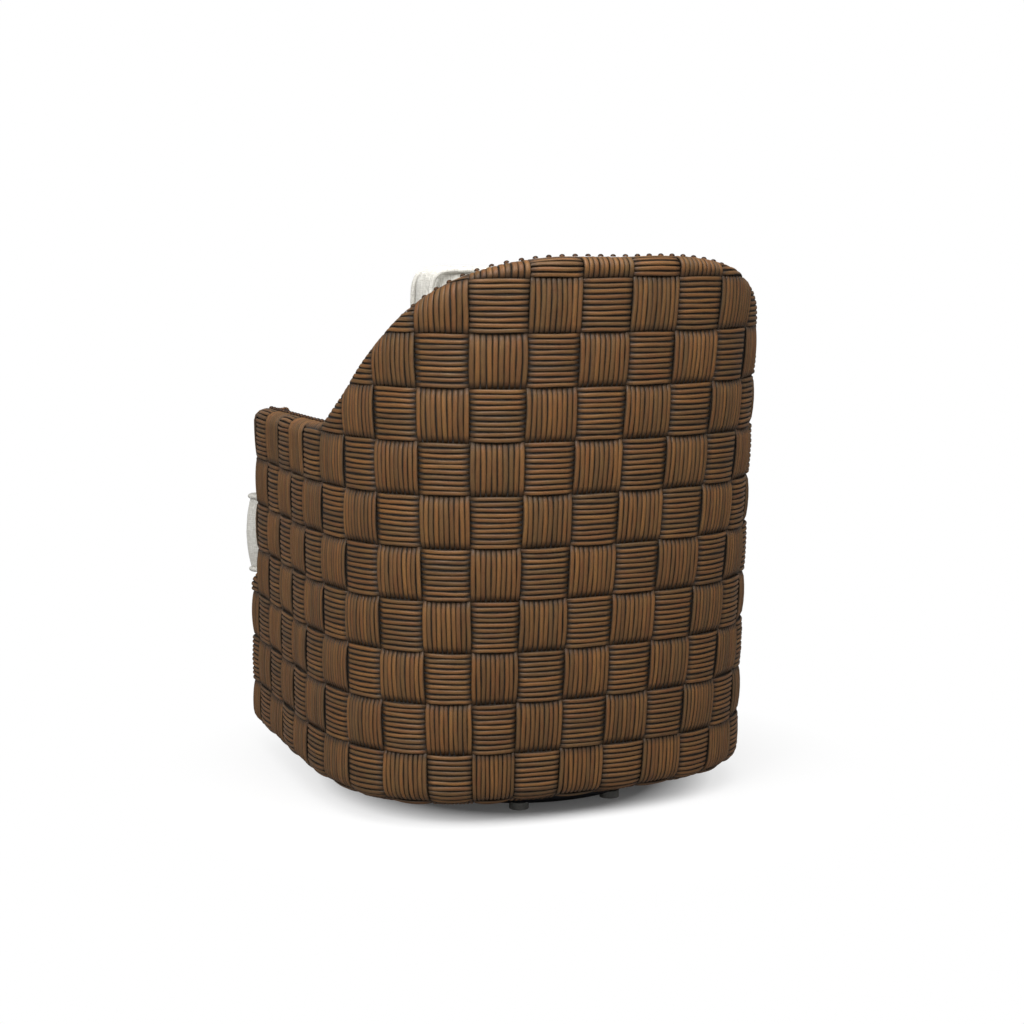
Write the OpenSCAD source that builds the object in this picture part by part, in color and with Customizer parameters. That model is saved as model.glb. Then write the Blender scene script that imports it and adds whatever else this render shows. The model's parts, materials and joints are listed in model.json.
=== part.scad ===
/* [Shell] */
// Distance from the swivel axis back to the outer face of the back
back_y = 351; // [330:1:380]
// Radius of the shallow curve across the back
back_radius = 900; // [800:10:1100]
// Half the angle of the shallow back curve
back_half_angle = 9.1; // [8:0.1:10]
// Radius of the round back corners
corner_radius = 256; // [236:1:270]
// Angle turned by each back corner
corner_angle = 68.9; // [67:0.1:70]
// Radius of the gentle curve from each corner into the arm
flank_radius = 745; // [700:5:800]
// Angle turned by each flank
flank_angle = 15.2; // [14:0.1:16]
// Height of the lower edge of the woven shell above the floor
skirt_z = 38; // [34:1:50]
// Height of the top edge in the middle of the back
crest_z = 890; // [860:1:910]
// How long the crest stays level before it sweeps down, as a power
crest_ease = 1.78; // [1.5:0.01:2.2]
// Distance round the shell from its middle to where the arm starts
arm_join = 552; // [520:1:580]
// Height of the arm where it meets the back
arm_z = 624; // [600:1:660]
// Distance from the swivel axis forward to the arm fronts
arm_front_y = 349; // [330:1:360]
// Thickness of the arm front panels
arm_front_t = 25; // [20:1:30]
// Thickness of the woven skin
skin_t = 9; // [7:0.5:11]
// Width of the woven band over the top edge
band_w = 30; // [28:1:40]
// Depth of the lip turned under at the lower edge
lip_w = 45; // [38:1:50]
// Radius of the rolled lower edge
bottom_roll = 28; // [20:1:32]
// Radius of the rolled top edge
top_roll = 20; // [14:1:22]

/* [Weave] */
// Width of one woven bundle
weave_w = 78; // [70:1:90]
// Height of one woven bundle
weave_h = 82; // [74:1:90]
// Sideways shift of the weave from the middle of the back
weave_shift = 12.8; // [0:0.2:30]
// Height of the first row line above the lower edge
weave_lift = 2; // [0:1:20]
// Height that each bundle crowns over the one that it crosses
weave_relief = 4.5; // [1:0.1:6]

/* [Front rail] */
// Distance from the swivel axis forward to the front rail's face
rail_front_y = 387; // [380:1:398]
// Half the width of the front rail
rail_half_w = 351; // [346:1:353]
// Height of the top of the front rail
rail_top_z = 316; // [300:1:317]
// Radius of the front rail's upright corners
rail_corner = 30; // [24:1:34]
// Radius of the front rail's top edge
rail_roll = 20; // [12:1:22]

/* [Timber frame] */
// Thickness of the timbers inside the shell
timber_t = 28; // [24:1:28]
// Height of the bottom rail
base_rail_h = 50; // [40:1:60]
// Height of the bottom rail's lower face above the floor
base_rail_z = 60; // [56:1:80]
// Height of the seat rails' lower face above the floor
seat_rail_z = 221; // [221:1:226]
// Height of the seat rails
seat_rail_h = 64; // [58:1:64]
// Thickness of the seat rails
seat_rail_t = 24; // [20:1:24]
// Height of the top and arm rails
top_rail_h = 45; // [36:1:55]
// Width of each upright post
post_w = 44; // [36:1:50]
// Thickness of the front board
front_board_t = 24; // [18:1:26]
// Height of the two rails that carry the mechanism
mount_rail_h = 59; // [50:1:59]
// Thickness of the two rails that carry the mechanism
mount_rail_t = 45; // [38:1:50]
// Distance of those rails from the middle
mount_rail_y = 110; // [100:1:120]
// Length of each corner block's side
block_w = 70; // [50:1:80]
// Thickness of the corner blocks
block_t = 32; // [25:1:38]

/* [Upholstery] */
// Thickness of the inside padding
pad_t = 23; // [18:1:24]
// Thickness of the padding over the seat deck
deck_pad_t = 25; // [20:1:26]
// Thickness of the deck cloth
deck_cloth_t = 1.5; // [1:0.1:2]
// Height of the seat cushion's boxing
seat_h = 142; // [120:1:150]
// Crown of the seat cushion
seat_crown = 12; // [6:1:14]
// Distance from the swivel axis forward to the seat cushion's front
seat_front_y = 399; // [395:1:420]
// Half the width of the seat cushion's ears
ear_half_w = 343; // [330:1:348]
// Radius of the seat cushion's front corners
ear_corner = 32; // [20:1:34]
// Half the width of the back cushion
cushion_half_w = 252; // [230:1:256]
// Height of the back cushion
cushion_h = 406; // [360:1:415]
// Distance from the swivel axis back to the back cushion's edge
cushion_y = 158; // [150:1:164]
// Thickness of the back cushion's boxing
cushion_edge_t = 76; // [60:1:80]
// Forward crown of the back cushion
cushion_crown = 36; // [20:1:45]
// Rearward crown of the back cushion
cushion_back_crown = 30; // [16:1:34]
// Depth by which the back cushion bends into the back's curve
cushion_bend = 58; // [40:1:64]
// Radius of the back cushion's corners
cushion_corner = 46; // [30:1:60]

/* [Swivel base] */
// Radius of the floor ring's centre line
ring_radius = 215; // [200:1:220]
// Diameter of the floor ring's tube
ring_tube = 25; // [20:1:25]
// Height of the floor ring's lower side above the floor
glide_h = 8; // [6:1:10]
// Diameter of each floor glide
glide_d = 32; // [26:1:34]
// Number of floor glides
glide_count = 8; // [6:1:10]
// Height of the four-armed spider
spider_h = 12; // [10:1:12]
// Width of the spider's arms
spider_w = 42; // [34:1:50]
// Wall of the spider's pressed steel
spider_wall = 3; // [2:0.5:4]
// Diameter of the spider's hub
hub_d = 156; // [150:1:170]
// Outer diameter of the ball races
race_d = 140; // [134:1:146]
// Inner diameter of the ball races
race_bore = 72; // [60:1:80]
// Thickness of each ball race
race_t = 6; // [6:0.5:7]
// Diameter of the ring of balls
ball_ring_d = 106; // [100:1:112]
// Diameter of each ball
ball_d = 8; // [7:0.5:8]
// Number of balls
ball_count = 16; // [12:1:20]
// Gap between the two races
race_gap = 3; // [2.5:0.1:3.5]
// Diameter of the king pin
king_d = 16; // [12:1:18]

/* [Rocker] */
// Thickness of the rocker plates
plate_t = 4; // [3:0.5:4]
// Half the width of the lower rocker plate
plate_half_w = 130; // [126:1:134]
// Half the depth of the lower rocker plate
plate_half_d = 105; // [100:1:112]
// Height of the rock pivot above the floor
pivot_z = 112; // [108:1:116]
// Diameter of the pivot pins
pin_d = 12; // [10:1:13]
// Radius of the bracket ears round the pivot pins
ear_r = 16; // [13:1:18]
// Gap between the lower and upper ears
ear_gap = 4; // [3:0.5:5]
// Outer diameter of the pivot bushings
bush_d = 17; // [16:0.5:18]
// Mean radius of each coil spring
coil_r = 20; // [17:1:22]
// Wire diameter of each coil spring
coil_wire = 6; // [4:0.5:6]
// Number of coils in each spring
coil_turns = 6; // [4:1:6]
// Sideways distance of the coil springs from the middle
coil_x = 80; // [74:1:84]
// Fore and aft distance of the coil springs from the middle
coil_y = 74; // [66:1:78]

/* [Seat springs] */
// Number of sinuous springs under the seat
sinuous_count = 5; // [3:1:6]
// Sideways distance between sinuous springs
sinuous_pitch = 98; // [80:1:100]
// Half the width of each sinuous spring
sinuous_half_w = 24; // [16:1:28]
// Wire diameter of the sinuous springs
sinuous_wire = 3.8; // [3:0.1:4.2]
// Number of bends along each sinuous spring
sinuous_bends = 17; // [13:2:21]

/* [Nails] */
// Diameter of each nail head
nail_d = 8; // [6:0.5:9]
// Height of each nail head
nail_h = 2.6; // [2:0.1:3.5]
// Distance between nail heads
nail_pitch = 20; // [16:0.5:30]

/* [Hidden] */

// Fits and clearances
fit_gap = 0.3;
shell_gap = 0.8;
running_gap = 0.05;
cut_over = 1;
cushion_gap = 2;

// Colours
steel_color = "#3a3a3c";
bright_color = "#b9bcc0";
timber_color = "#c9a06a";
weave_color = "#7a5230";
linen_color = "#cdcbc4";
cloth_color = "#2b2b2d";
nail_color = "#3b2c1e";

// Plan of the shell, as a run of arcs from the middle of the back
rad = 180 / PI;
lean_share = 0.119;
lean_z = 436;
arm_fall_share = 0.014;
corner_s = back_radius * back_half_angle / rad;
flank_s = corner_s + corner_radius * corner_angle / rad;
side_s = flank_s + flank_radius * flank_angle / rad;
corner_turn = back_half_angle;
flank_turn = corner_turn + corner_angle;
side_turn = flank_turn + flank_angle;
function toward(t) = [sin(t), cos(t)];
back_mid = [0, back_y - back_radius];
corner_mid = back_mid + (back_radius - corner_radius) * toward(corner_turn);
flank_mid = corner_mid + (corner_radius - flank_radius) * toward(flank_turn);
side_start = flank_mid + flank_radius * toward(side_turn);

// Direction in which the shell faces at a distance a from its middle
function turn(a) =
    a <= corner_s ? a / back_radius * rad :
    a <= flank_s ? corner_turn + (a - corner_s) / corner_radius * rad :
    a <= side_s ? flank_turn + (a - flank_s) / flank_radius * rad : side_turn;

// Point of the plan curve at a distance a from its middle
function plan(a) =
    a <= corner_s ? back_mid + back_radius * toward(turn(a)) :
    a <= flank_s ? corner_mid + corner_radius * toward(turn(a)) :
    a <= side_s ? flank_mid + flank_radius * toward(turn(a)) :
    side_start + (a - side_s) * [cos(side_turn), -sin(side_turn)];

// Point of the wall at the distance s round it, d out from its face, at the height z
function wall(s, d, z) =
    let (t = turn(abs(s)), lean = lean_share * (z - lean_z) * pow(cos(t), 2), q = plan(abs(s)) + (d + lean) * toward(t))
    [sign(s) * q.x, q.y, z];

// Distance round the wall at which its side, d out from its face, reaches the place y
function side_at(y, d = 0) = side_s + (side_start.y + d * cos(side_turn) - y) / sin(side_turn);

// Height of the top edge: a crest that eases into a swept shoulder, and then the arm
shoulder_slope_share = 0.44;
sweep_share = 0.72;
function shoulder(u) =
    crest_z - (crest_z - arm_z) * pow((1 - cos(180 * pow(u, crest_ease))) / 2, sweep_share)
    + shoulder_slope_share * arm_join * (pow(u, 2) - pow(u, 3));
function top_z(s) =
    abs(s) >= arm_join ? arm_z - arm_fall_share * (abs(s) - arm_join) : shoulder(abs(s) / arm_join);

// Stations along the back and along the arms
arm_end = side_at(arm_front_t - arm_front_y);
back_steps = 28;
arm_steps = 6;
back_stations = [for (i = [0:back_steps]) arm_join * (2 * i / back_steps - 1)];
arm_stations = [for (i = [0:arm_steps]) arm_join + (arm_end - arm_join) * i / arm_steps];
function reverse(list) = [for (i = [len(list) - 1:-1:0]) list[i]];
function other_side(list) = [for (s = reverse(list)) -s];
all_stations = concat(other_side([for (i = [1:arm_steps]) arm_stations[i]]), back_stations,
    [for (i = [1:arm_steps]) arm_stations[i]]);

// Solid through a row of closed rings of points, closed by a tip at each end or by caps that zip
// each ring's two sides together, from its closing edge on, by the shorter step each time
function total(list, i = 0) = i == len(list) - 1 ? list[i] : list[i] + total(list, i + 1);
function middle(ring) = total(ring) / len(ring);
function facing(ring) = let (m = middle(ring), n = len(ring))
    total([for (i = [0:n - 1]) cross(ring[i] - m, ring[(i + 1) % n] - m)]);
function zip(ring, i, j) =
    j - i < 2 ? [] :
    norm(ring[i + 1] - ring[j]) < norm(ring[i] - ring[j - 1])
        ? concat([[i, i + 1, j]], zip(ring, i + 1, j)) : concat([[i, j - 1, j]], zip(ring, i, j - 1));
module loft(rows, tips = []) {
    ahead = facing(rows[0]) * (middle(rows[floor(len(rows) / 2)]) - middle(rows[0])) > 0;
    rings = [for (row = rows) ahead ? row : reverse(row)];
    n = len(rings[0]);
    m = len(rings);
    last = (m - 1) * n;
    points = concat([for (ring = rings) each ring], tips);
    fans = [for (i = [0:n - 1]) let (next = (i + 1) % n)
        each [[i, next, m * n], [last + next, last + i, m * n + 1]]];
    zips = concat(zip(rings[0], 0, n - 1),
        [for (face = zip(rings[m - 1], 0, n - 1)) [last + face[2], last + face[1], last + face[0]]]);
    sides = [for (j = [0:m - 2]) for (i = [0:n - 1]) let (a = j * n + i, b = j * n + (i + 1) % n)
        each [[a, b + n, b], [a, a + n, b + n]]];
    polyhedron(points, concat(len(tips) == 0 ? zips : fans, sides), convexity = 10);
}

// Points straight up the wall, near enough together to follow its twist
rise_steps = 6;
function upright(d, low, high) = [for (i = [0:rise_steps]) [d, low + (high - low) * i / rise_steps]];

// Ring of wall points at the distance s, from a profile of [out, up] pairs
function wall_ring(s, profile) = [for (p = profile) wall(s, p[0], p[1])];

// Quarter arc of [out, up] pairs about a middle, from the angle a to the angle b
arc_steps = 4;
function arc(mid, r, a, b) = [for (i = [0:arc_steps]) let (t = a + (b - a) * i / arc_steps)
    [mid[0] + r * cos(t), mid[1] + r * sin(t)]];

// Woven skin: bundles that pass over and under each other, and lie flat where two skins meet
weave_z = skirt_z + weave_lift;
weave_shares = [0.04, 0.3, 0.7, 0.96];
arch_share = 0.6;
edge_share = 0.2;
tuck = 0.6;
function fraction(v) = v - floor(v);
function weave(s, z) =
    let (c = (s + weave_shift) / weave_w, r = (z - weave_z) / weave_h, over = (floor(c) + floor(r)) % 2 == 0)
    abs(s) == arm_join || abs(s) == arm_end ? 0 : weave_relief * pow(sin(180 * fraction(over ? r : c)), arch_share)
    * (1 - edge_share * (1 - sin(180 * fraction(over ? c : r))));
weave_start = skirt_z + bottom_roll;
function weave_rows(limit) = [for (r = [0:ceil((limit - weave_z) / weave_h)]) for (f = weave_shares)
    let (z = weave_z + (r + f) * weave_h) if (z > weave_start + weave_relief && z < limit) z];
function weave_columns(from, to) = concat([from], [for (c = [floor((from + weave_shift) / weave_w):
    ceil((to + weave_shift) / weave_w)]) for (f = weave_shares) let (s = (c + f) * weave_w - weave_shift)
    if (s > from + weave_relief && s < to - weave_relief) s], [to]);
function skin_profile(s, rows) =
    let (zt = top_z(s), limit = zt - top_roll, k = len(rows))
    concat([[-lip_w, skirt_z]], arc([-bottom_roll, weave_start], bottom_roll, -90, 0),
        [for (i = [0:k - 1]) let (top = limit - (k - i) * tuck) rows[i] < top ? [weave(s, rows[i]), rows[i]] : [0, top]],
        arc([-top_roll, limit], top_roll, 0, 90),
        [[nail_d_out, zt], [-band_w, zt], [-band_w, zt - skin_t]], reverse(upright(-skin_t, skirt_z + skin_t, zt - skin_t)),
        [[-lip_w, skirt_z + skin_t]]);
module woven_skin(stations, rows) {
    loft([for (s = stations) wall_ring(s, skin_profile(s, rows))]);
}
module woven_back() {
    color(weave_color) woven_skin(weave_columns(-arm_join, arm_join), weave_rows(crest_z - top_roll));
}
module woven_arm(side) {
    columns = weave_columns(arm_join, arm_end);
    mirrored = weave_columns(-arm_end, -arm_join);
    color(weave_color) woven_skin(side > 0 ? columns : mirrored, weave_rows(arm_z - top_roll));
}

// Arm front panels, rounded at the outer corner, the front and the top
arm_wall = skin_t + timber_t + pad_t + 2 * shell_gap;
arm_front_x = wall(arm_end, 0, arm_z).x;
arm_front_in = arm_front_x - arm_wall;
arm_tip_z = top_z(arm_end);
front_y = -arm_front_y;
module rounded_block(half_w, low, high, r) {
    polygon(concat([[-half_w, low], [half_w, low]], arc([half_w - r, high - r], r, 0, 90),
        arc([r - half_w, high - r], r, 90, 180)));
}
module rounded_outline(low, high, r) {
    polygon(concat([low, [high.x, low.y]], arc([high.x - r, high.y - r], r, 0, 90), [[low.x, high.y]]));
}
module arm_front_panel() {
    tall = arm_tip_z - skirt_z;
    intersection() {
        translate([0, 0, skirt_z]) linear_extrude(tall)
            mirror([0, 1]) rounded_outline([arm_front_in, arm_front_y - arm_front_t], [arm_front_x, arm_front_y], top_roll);
        translate([0, front_y + arm_front_t, 0]) rotate([90, 0, 0]) linear_extrude(arm_front_t)
            rounded_outline([arm_front_in, skirt_z], [arm_front_x, arm_tip_z], top_roll);
        translate([arm_front_in, 0, 0]) rotate([90, 0, 90]) linear_extrude(arm_wall) mirror([1, 0])
            rounded_outline([arm_front_y - arm_front_t, skirt_z], [arm_front_y, arm_tip_z], top_roll);
    }
}
module arm_front(side) {
    color(weave_color) mirror([side > 0 ? 0 : 1, 0, 0]) arm_front_panel();
}

// Front rail: a woven box section in front of the arm fronts, over a board
module front_block(inset) {
    w = rail_half_w - inset;
    y = rail_front_y - inset;
    back = arm_front_y + fit_gap;
    low = skirt_z + inset;
    high = rail_top_z - inset;
    r = rail_corner - inset;
    rt = rail_roll - inset;
    intersection() {
        translate([0, 0, low]) linear_extrude(high - low) mirror([0, 1]) rounded_block(w, back, y, r);
        translate([-w, 0, (low + high) / 2]) rotate([90, 90, 90]) linear_extrude(2 * w)
            mirror([0, 1]) rounded_block((high - low) / 2, back, y, rt);
    }
}
board_top_z = rail_top_z - skin_t - fit_gap;
board_low_z = skirt_z + skin_t + fit_gap;
module woven_front() {
    color(weave_color) difference() {
        front_block(0);
        translate([-rail_half_w + rail_corner, -rail_front_y + skin_t, skirt_z + skin_t])
            cube([2 * (rail_half_w - rail_corner), rail_front_y - skin_t, rail_top_z - skirt_z - 2 * skin_t]);
    }
}
module front_board() {
    w = rail_half_w - rail_corner - fit_gap;
    depth = rail_front_y - arm_front_y - skin_t - 2 * fit_gap;
    color(timber_color) translate([-w, -rail_front_y + skin_t + fit_gap, board_low_z])
        cube([2 * w, min(depth, front_board_t), board_top_z - board_low_z]);
}

// Timbers that follow the shell
timber_out = -skin_t - shell_gap;
timber_in = timber_out - timber_t;
function box_profile(out, in, low, high) = concat(upright(out, low, high), reverse(upright(in, low, high)));
function rail_profile(out, in, low, high) = [[in, low], [out, low], [out, high], [in, high]];
module curved_rail(stations, out, in, low, high) {
    loft([for (s = stations) wall_ring(s, rail_profile(out, in, low, high))]);
}
module base_rail() {
    color(timber_color) curved_rail(all_stations, timber_out, timber_in, base_rail_z, base_rail_z + base_rail_h);
}
seat_rail_out = timber_in - shell_gap;
seat_rail_in = seat_rail_out - seat_rail_t;
seat_rail_top = seat_rail_z + seat_rail_h;
front_rail_y = front_y + arm_front_t + fit_gap;
seat_side_end = side_at(front_rail_y + seat_rail_t + fit_gap);
seat_side_stations = [for (i = [0:arm_steps]) arm_join + fit_gap + (seat_side_end - arm_join - fit_gap) * i / arm_steps];
module seat_rail_back() {
    color(timber_color) curved_rail(back_stations, seat_rail_out, seat_rail_in, seat_rail_z, seat_rail_top);
}
module seat_rail(side) {
    stations = side > 0 ? seat_side_stations : other_side(seat_side_stations);
    color(timber_color) curved_rail(stations, seat_rail_out, seat_rail_in, seat_rail_z, seat_rail_top);
}
seat_rail_half = wall(seat_side_end, seat_rail_out, seat_rail_z).x - fit_gap;
module seat_rail_front() {
    color(timber_color) translate([-seat_rail_half, front_rail_y, seat_rail_z])
        cube([2 * seat_rail_half, seat_rail_t, seat_rail_h]);
}

// Top rail and arm rails under the woven band
function under_band(s) = top_z(s) - skin_t - 2 * shell_gap;
module edge_rail(stations) {
    loft([for (s = stations) wall_ring(s, rail_profile(timber_out, timber_in, under_band(s) - top_rail_h, under_band(s)))]);
}
module back_top_rail() {
    color(timber_color) edge_rail(back_stations);
}
module arm_rail(side) {
    color(timber_color) edge_rail(side > 0 ? arm_stations : other_side(arm_stations));
}

// Posts from the bottom rail up to the top and arm rails
post_low = base_rail_z + base_rail_h + fit_gap;
function post_ring(s) =
    wall_ring(s, box_profile(timber_out, timber_in, post_low, under_band(s) - top_rail_h - 2 * shell_gap));
module post(s) {
    color(timber_color) loft([for (i = [0:2]) post_ring(s + post_w * (i / 2 - 0.5))]);
}
back_post_s = back_stations[back_steps / 2 + 4];
wing_post_s = back_stations[back_steps / 2 + 10];
arm_post_s = arm_end - post_w;

// Rails that carry the mechanism, and corner blocks between the seat rails
mount_z = seat_rail_z - deck_cloth_t - mount_rail_h - 2 * fit_gap;
mount_half = wall(arm_join, seat_rail_out, seat_rail_z).x - seat_rail_t / 2;
module mount_rail(y) {
    color(timber_color) difference() {
        translate([-mount_half, y - mount_rail_t / 2, mount_z]) cube([2 * mount_half, mount_rail_t, mount_rail_h]);
        for (x = [-screw_x, screw_x])
            translate([x, y, mount_z - cut_over]) cylinder(h = screw_len, d = screw_d, $fn = 32);
    }
}
module corner_block(side) {
    x = seat_rail_half - seat_rail_t - 2 * fit_gap - cushion_gap;
    y = front_rail_y + seat_rail_t + fit_gap;
    translate([0, 0, seat_rail_z]) linear_extrude(block_t) mirror([side > 0 ? 0 : 1, 0])
        polygon([[x, y], [x, y + block_w], [x - block_w, y]]);
}
module corner_blocks() {
    color(timber_color) for (side = [-1, 1]) corner_block(side);
}

// Seat springs, clips, deck cloth, deck padding and dust cover
sinuous_z = seat_rail_top + sinuous_wire / 2 + fit_gap;
sinuous_end = seat_rail_t / 2;
sinuous_front = front_rail_y + fit_gap;
wave_steps = 3;
function sinuous_back(x) = back_wall_y(x, seat_rail_out - fit_gap, seat_rail_top);
function sinuous_path(x) =
    let (from = sinuous_front + sinuous_end, to = sinuous_back(x) - sinuous_end, n = wave_steps * sinuous_bends)
    concat([[x, sinuous_front, sinuous_z]],
        [for (i = [0:n]) [x + sinuous_half_w * sin(180 * i / wave_steps), from + (to - from) * i / n, sinuous_z]],
        [[x, sinuous_back(x), sinuous_z]]);
function unit(v) = v / norm(v);
function flat_ring(p, along, r) =
    let (side = unit(cross(along, [0, 0, 1])))
    [for (t = [45, 135, 225, 315]) p + r * (cos(t) * side + sin(t) * [0, 0, 1])];
module sinuous_spring(x) {
    path = sinuous_path(x);
    last = len(path) - 1;
    loft([for (i = [0:last]) flat_ring(path[i], unit(path[min(i + 1, last)] - path[max(i - 1, 0)]), sinuous_wire / 2)]);
}
sinuous_places = [for (i = [0:sinuous_count - 1]) (i - (sinuous_count - 1) / 2) * sinuous_pitch];
module sinuous_springs() {
    color(bright_color) for (x = sinuous_places) sinuous_spring(x);
}
clip_w = 16;
clip_len = 9;
clip_t = 1.2;
clip_h = sinuous_wire + 2 * fit_gap + clip_t;
module spring_clip(x, y) {
    channel = sinuous_wire + 2 * fit_gap;
    translate([x, y, seat_rail_top]) difference() {
        translate([-clip_w / 2, -clip_len / 2, 0]) cube([clip_w, clip_len, clip_h]);
        translate([-channel / 2, -clip_len, -cut_over]) cube([channel, 2 * clip_len, clip_h - clip_t + cut_over]);
    }
}
module spring_clips() {
    color(bright_color) for (x = sinuous_places) {
        spring_clip(x, sinuous_front + sinuous_end / 2);
        spring_clip(x, sinuous_back(x) - sinuous_end / 2);
    }
}
deck_z = seat_rail_top + clip_h + fit_gap;
deck_pad_z = deck_z + deck_cloth_t + fit_gap;
deck_pad_top = deck_pad_z + deck_pad_t;
function sheet_outline(d, z, front) =
    let (side = side_at(front, d), stations = concat([-side], all_stations, [side]))
    [for (s = stations) if (abs(s) <= side) let (p = wall(s, d, z)) [p.x, p.y]];
module sheet(d, z, thick, front) {
    translate([0, 0, z]) linear_extrude(thick) polygon(sheet_outline(d, z, front));
}
module seat_deck() {
    color(cloth_color) sheet(timber_in - fit_gap, deck_z, deck_cloth_t, front_rail_y);
}
module deck_pad() {
    color(linen_color) sheet(cushion_d, deck_pad_z, deck_pad_t, front_y + cushion_gap);
}
module dust_cover() {
    color(cloth_color) sheet(timber_in - 2 * fit_gap, seat_rail_z - deck_cloth_t - fit_gap, deck_cloth_t, front_rail_y);
}

// Inside padding of the back and the arms, rolled over to the nail line
pad_out = timber_in - shell_gap;
pad_in = pad_out - pad_t;
pad_edge = -band_w - shell_gap;
pad_roll = pad_edge - pad_in;
pad_swell = 5;
function pad_profile(s) =
    let (zt = top_z(s), lip = zt - skin_t - shell_gap, mid = (deck_pad_z + zt - pad_roll) / 2)
    concat([[pad_edge, lip]], reverse(upright(pad_out, deck_pad_z, lip)),
        [for (p = upright(pad_in, deck_pad_z, zt - pad_roll - fit_gap))
        [pad_in - pad_swell * (1 - pow((p[1] - mid) / (mid - deck_pad_z), 2)), p[1]]],
        reverse(arc([pad_edge, zt - pad_roll], pad_roll, 90, 180)));
module inner_pad(stations) {
    loft([for (s = stations) wall_ring(s, pad_profile(s))]);
}
module inner_back_pad() {
    color(linen_color) inner_pad(back_stations);
}
pad_front = side_at(front_y + arm_front_t + fit_gap);
pad_stations = [for (i = [0:arm_steps]) arm_join + fit_gap + (pad_front - arm_join - fit_gap) * i / arm_steps];
module inner_arm_pad(side) {
    color(linen_color) inner_pad(side > 0 ? pad_stations : other_side(pad_stations));
}

// Place y of the wall's inner or outer face straight behind the place x
function back_wall_y(x, d, z) =
    let (shallow = asin(min(1, abs(x) / (back_radius + d))),
        tight = asin(min(1, max(0, abs(x) - corner_mid.x) / (corner_radius + d))),
        a = shallow <= corner_turn ? shallow / rad * back_radius : corner_s + (tight - corner_turn) / rad * corner_radius)
    wall(a, d, z).y;

// Seat cushion: a T outline with a boxed edge and a crown, as rings across it from the front to
// the back; e draws the outline in
cushion_z = max(rail_top_z, deck_pad_top) + fit_gap;
cushion_d = -arm_wall - pad_swell - shell_gap;
cushion_top = cushion_z + seat_h;
ear_back_y = front_y - cushion_gap;
ear_round = 4;
ear_slope = 1;
seat_bow = 6;
bow_steps = 3;
function seat_half_outline(e) =
    let (w = ear_half_w - e, back = ear_back_y - e, x = ear_half_w - ear_corner, y = ear_corner - seat_front_y,
        side = side_at(back, cushion_d - e))
    concat([for (i = [1:bow_steps - 1]) [x * i / bow_steps, e - seat_front_y - seat_bow * cos(90 * i / bow_steps)]],
        arc([x, y], ear_corner - e, -90, 0), [[w, back - ear_round], [w - ear_round, back - ear_slope]],
        [for (s = reverse(concat(all_stations, [side]))) if (s > 0)
            let (p = wall(s, cushion_d - e, cushion_z)) [p.x, p.y]]);
// Insets of the boxing, each with its share of the boxing's height
edge_inset = 8;
boxing_shares = [[1, 0], [0.4, 0.04], [0.1, 0.22], [0, 0.5], [0.1, 0.78], [0.4, 0.96], [1, 1]];
// Shares of the half width at which the crown is set out, and the crown left at the front and back
seat_top_shares = [0.8, 0.55, 0.25];
seat_end_share = 0.15;
module seat_cushion() {
    outlines = [for (b = boxing_shares) seat_half_outline(b[0] * edge_inset)];
    top = outlines[len(outlines) - 1];
    last = len(top) - 1;
    mid_y = (top[0].y + top[last].y) / 2;
    half_y = (top[last].y - top[0].y) / 2;
    rise = [for (p = top) seat_crown * (1 - (1 - seat_end_share) * pow((p.y - mid_y) / half_y, 2))];
    rings = [for (i = [0:last])
        let (right = concat([for (b = [0:len(outlines) - 1])
                [outlines[b][i].x, outlines[b][i].y, cushion_z + boxing_shares[b][1] * seat_h]],
            [for (f = seat_top_shares) [f * top[i].x, top[i].y, cushion_top + rise[i] * (1 - pow(f, 2))]]))
        concat(right, [for (p = reverse(right)) [-p.x, p.y, p.z]])];
    color(linen_color) loft(rings);
}

// Back cushion: a boxed pillow that leans on the back and fills its curve
seat_rest_share = 0.75;
cushion_low = cushion_top + seat_rest_share * seat_crown + fit_gap;
cushion_mid_z = cushion_low + cushion_h / 2;
corner_steps = 5;
side_steps = 4;
function round_corner(w, h, r, a) = [for (i = [0:corner_steps]) let (t = a + 90 * i / corner_steps)
    [w + r * cos(t), h + r * sin(t)]];
function cushion_outline() =
    let (w = cushion_half_w - cushion_corner, h = cushion_h / 2 - cushion_corner, r = cushion_corner)
    concat(round_corner(w, h, r, 0), [for (i = [1:side_steps - 1]) [w * (1 - 2 * i / side_steps), h + r]],
        round_corner(-w, h, r, 90), [for (i = [1:side_steps - 1]) [-w - r, h * (1 - 2 * i / side_steps)]],
        round_corner(-w, -h, r, 180), [for (i = [1:side_steps - 1]) [-w * (1 - 2 * i / side_steps), -h - r]],
        round_corner(w, -h, r, 270), [for (i = [1:side_steps - 1]) [w + r, -h * (1 - 2 * i / side_steps)]]);
// Each pair is the share of the outline's size and the share of the crown
cushion_front_shares = [[0.25, 1], [0.5, 0.86], [0.72, 0.62], [0.88, 0.34], [0.96, 0.1], [0.98, 0]];
cushion_back_shares = [[0.98, 0], [0.94, 0.14], [0.85, 0.38], [0.7, 0.62], [0.5, 0.82], [0.25, 0.96]];
function cushion_point(x, z, y) =
    let (bent = cushion_y + cushion_bend * (1 - pow(x / cushion_half_w, 2)))
    [x, min(bent + y + lean_share * (z - lean_z), back_wall_y(x, cushion_d + shell_gap / 2, z)), z];
function cushion_ring(f, y) = [for (p = cushion_outline()) cushion_point(f * p.x, cushion_mid_z + f * p.y, y)];
module back_cushion() {
    half = cushion_edge_t / 2;
    front = [for (p = cushion_front_shares) cushion_ring(p[0], -half - p[1] * cushion_crown)];
    back = [for (p = cushion_back_shares) cushion_ring(p[0], half + p[1] * cushion_back_crown)];
    tips = [cushion_point(0, cushion_mid_z, -half - cushion_crown), cushion_point(0, cushion_mid_z, half + cushion_back_crown)];
    color(linen_color) loft(concat(front, [cushion_ring(1, 0)], back), tips);
}

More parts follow.
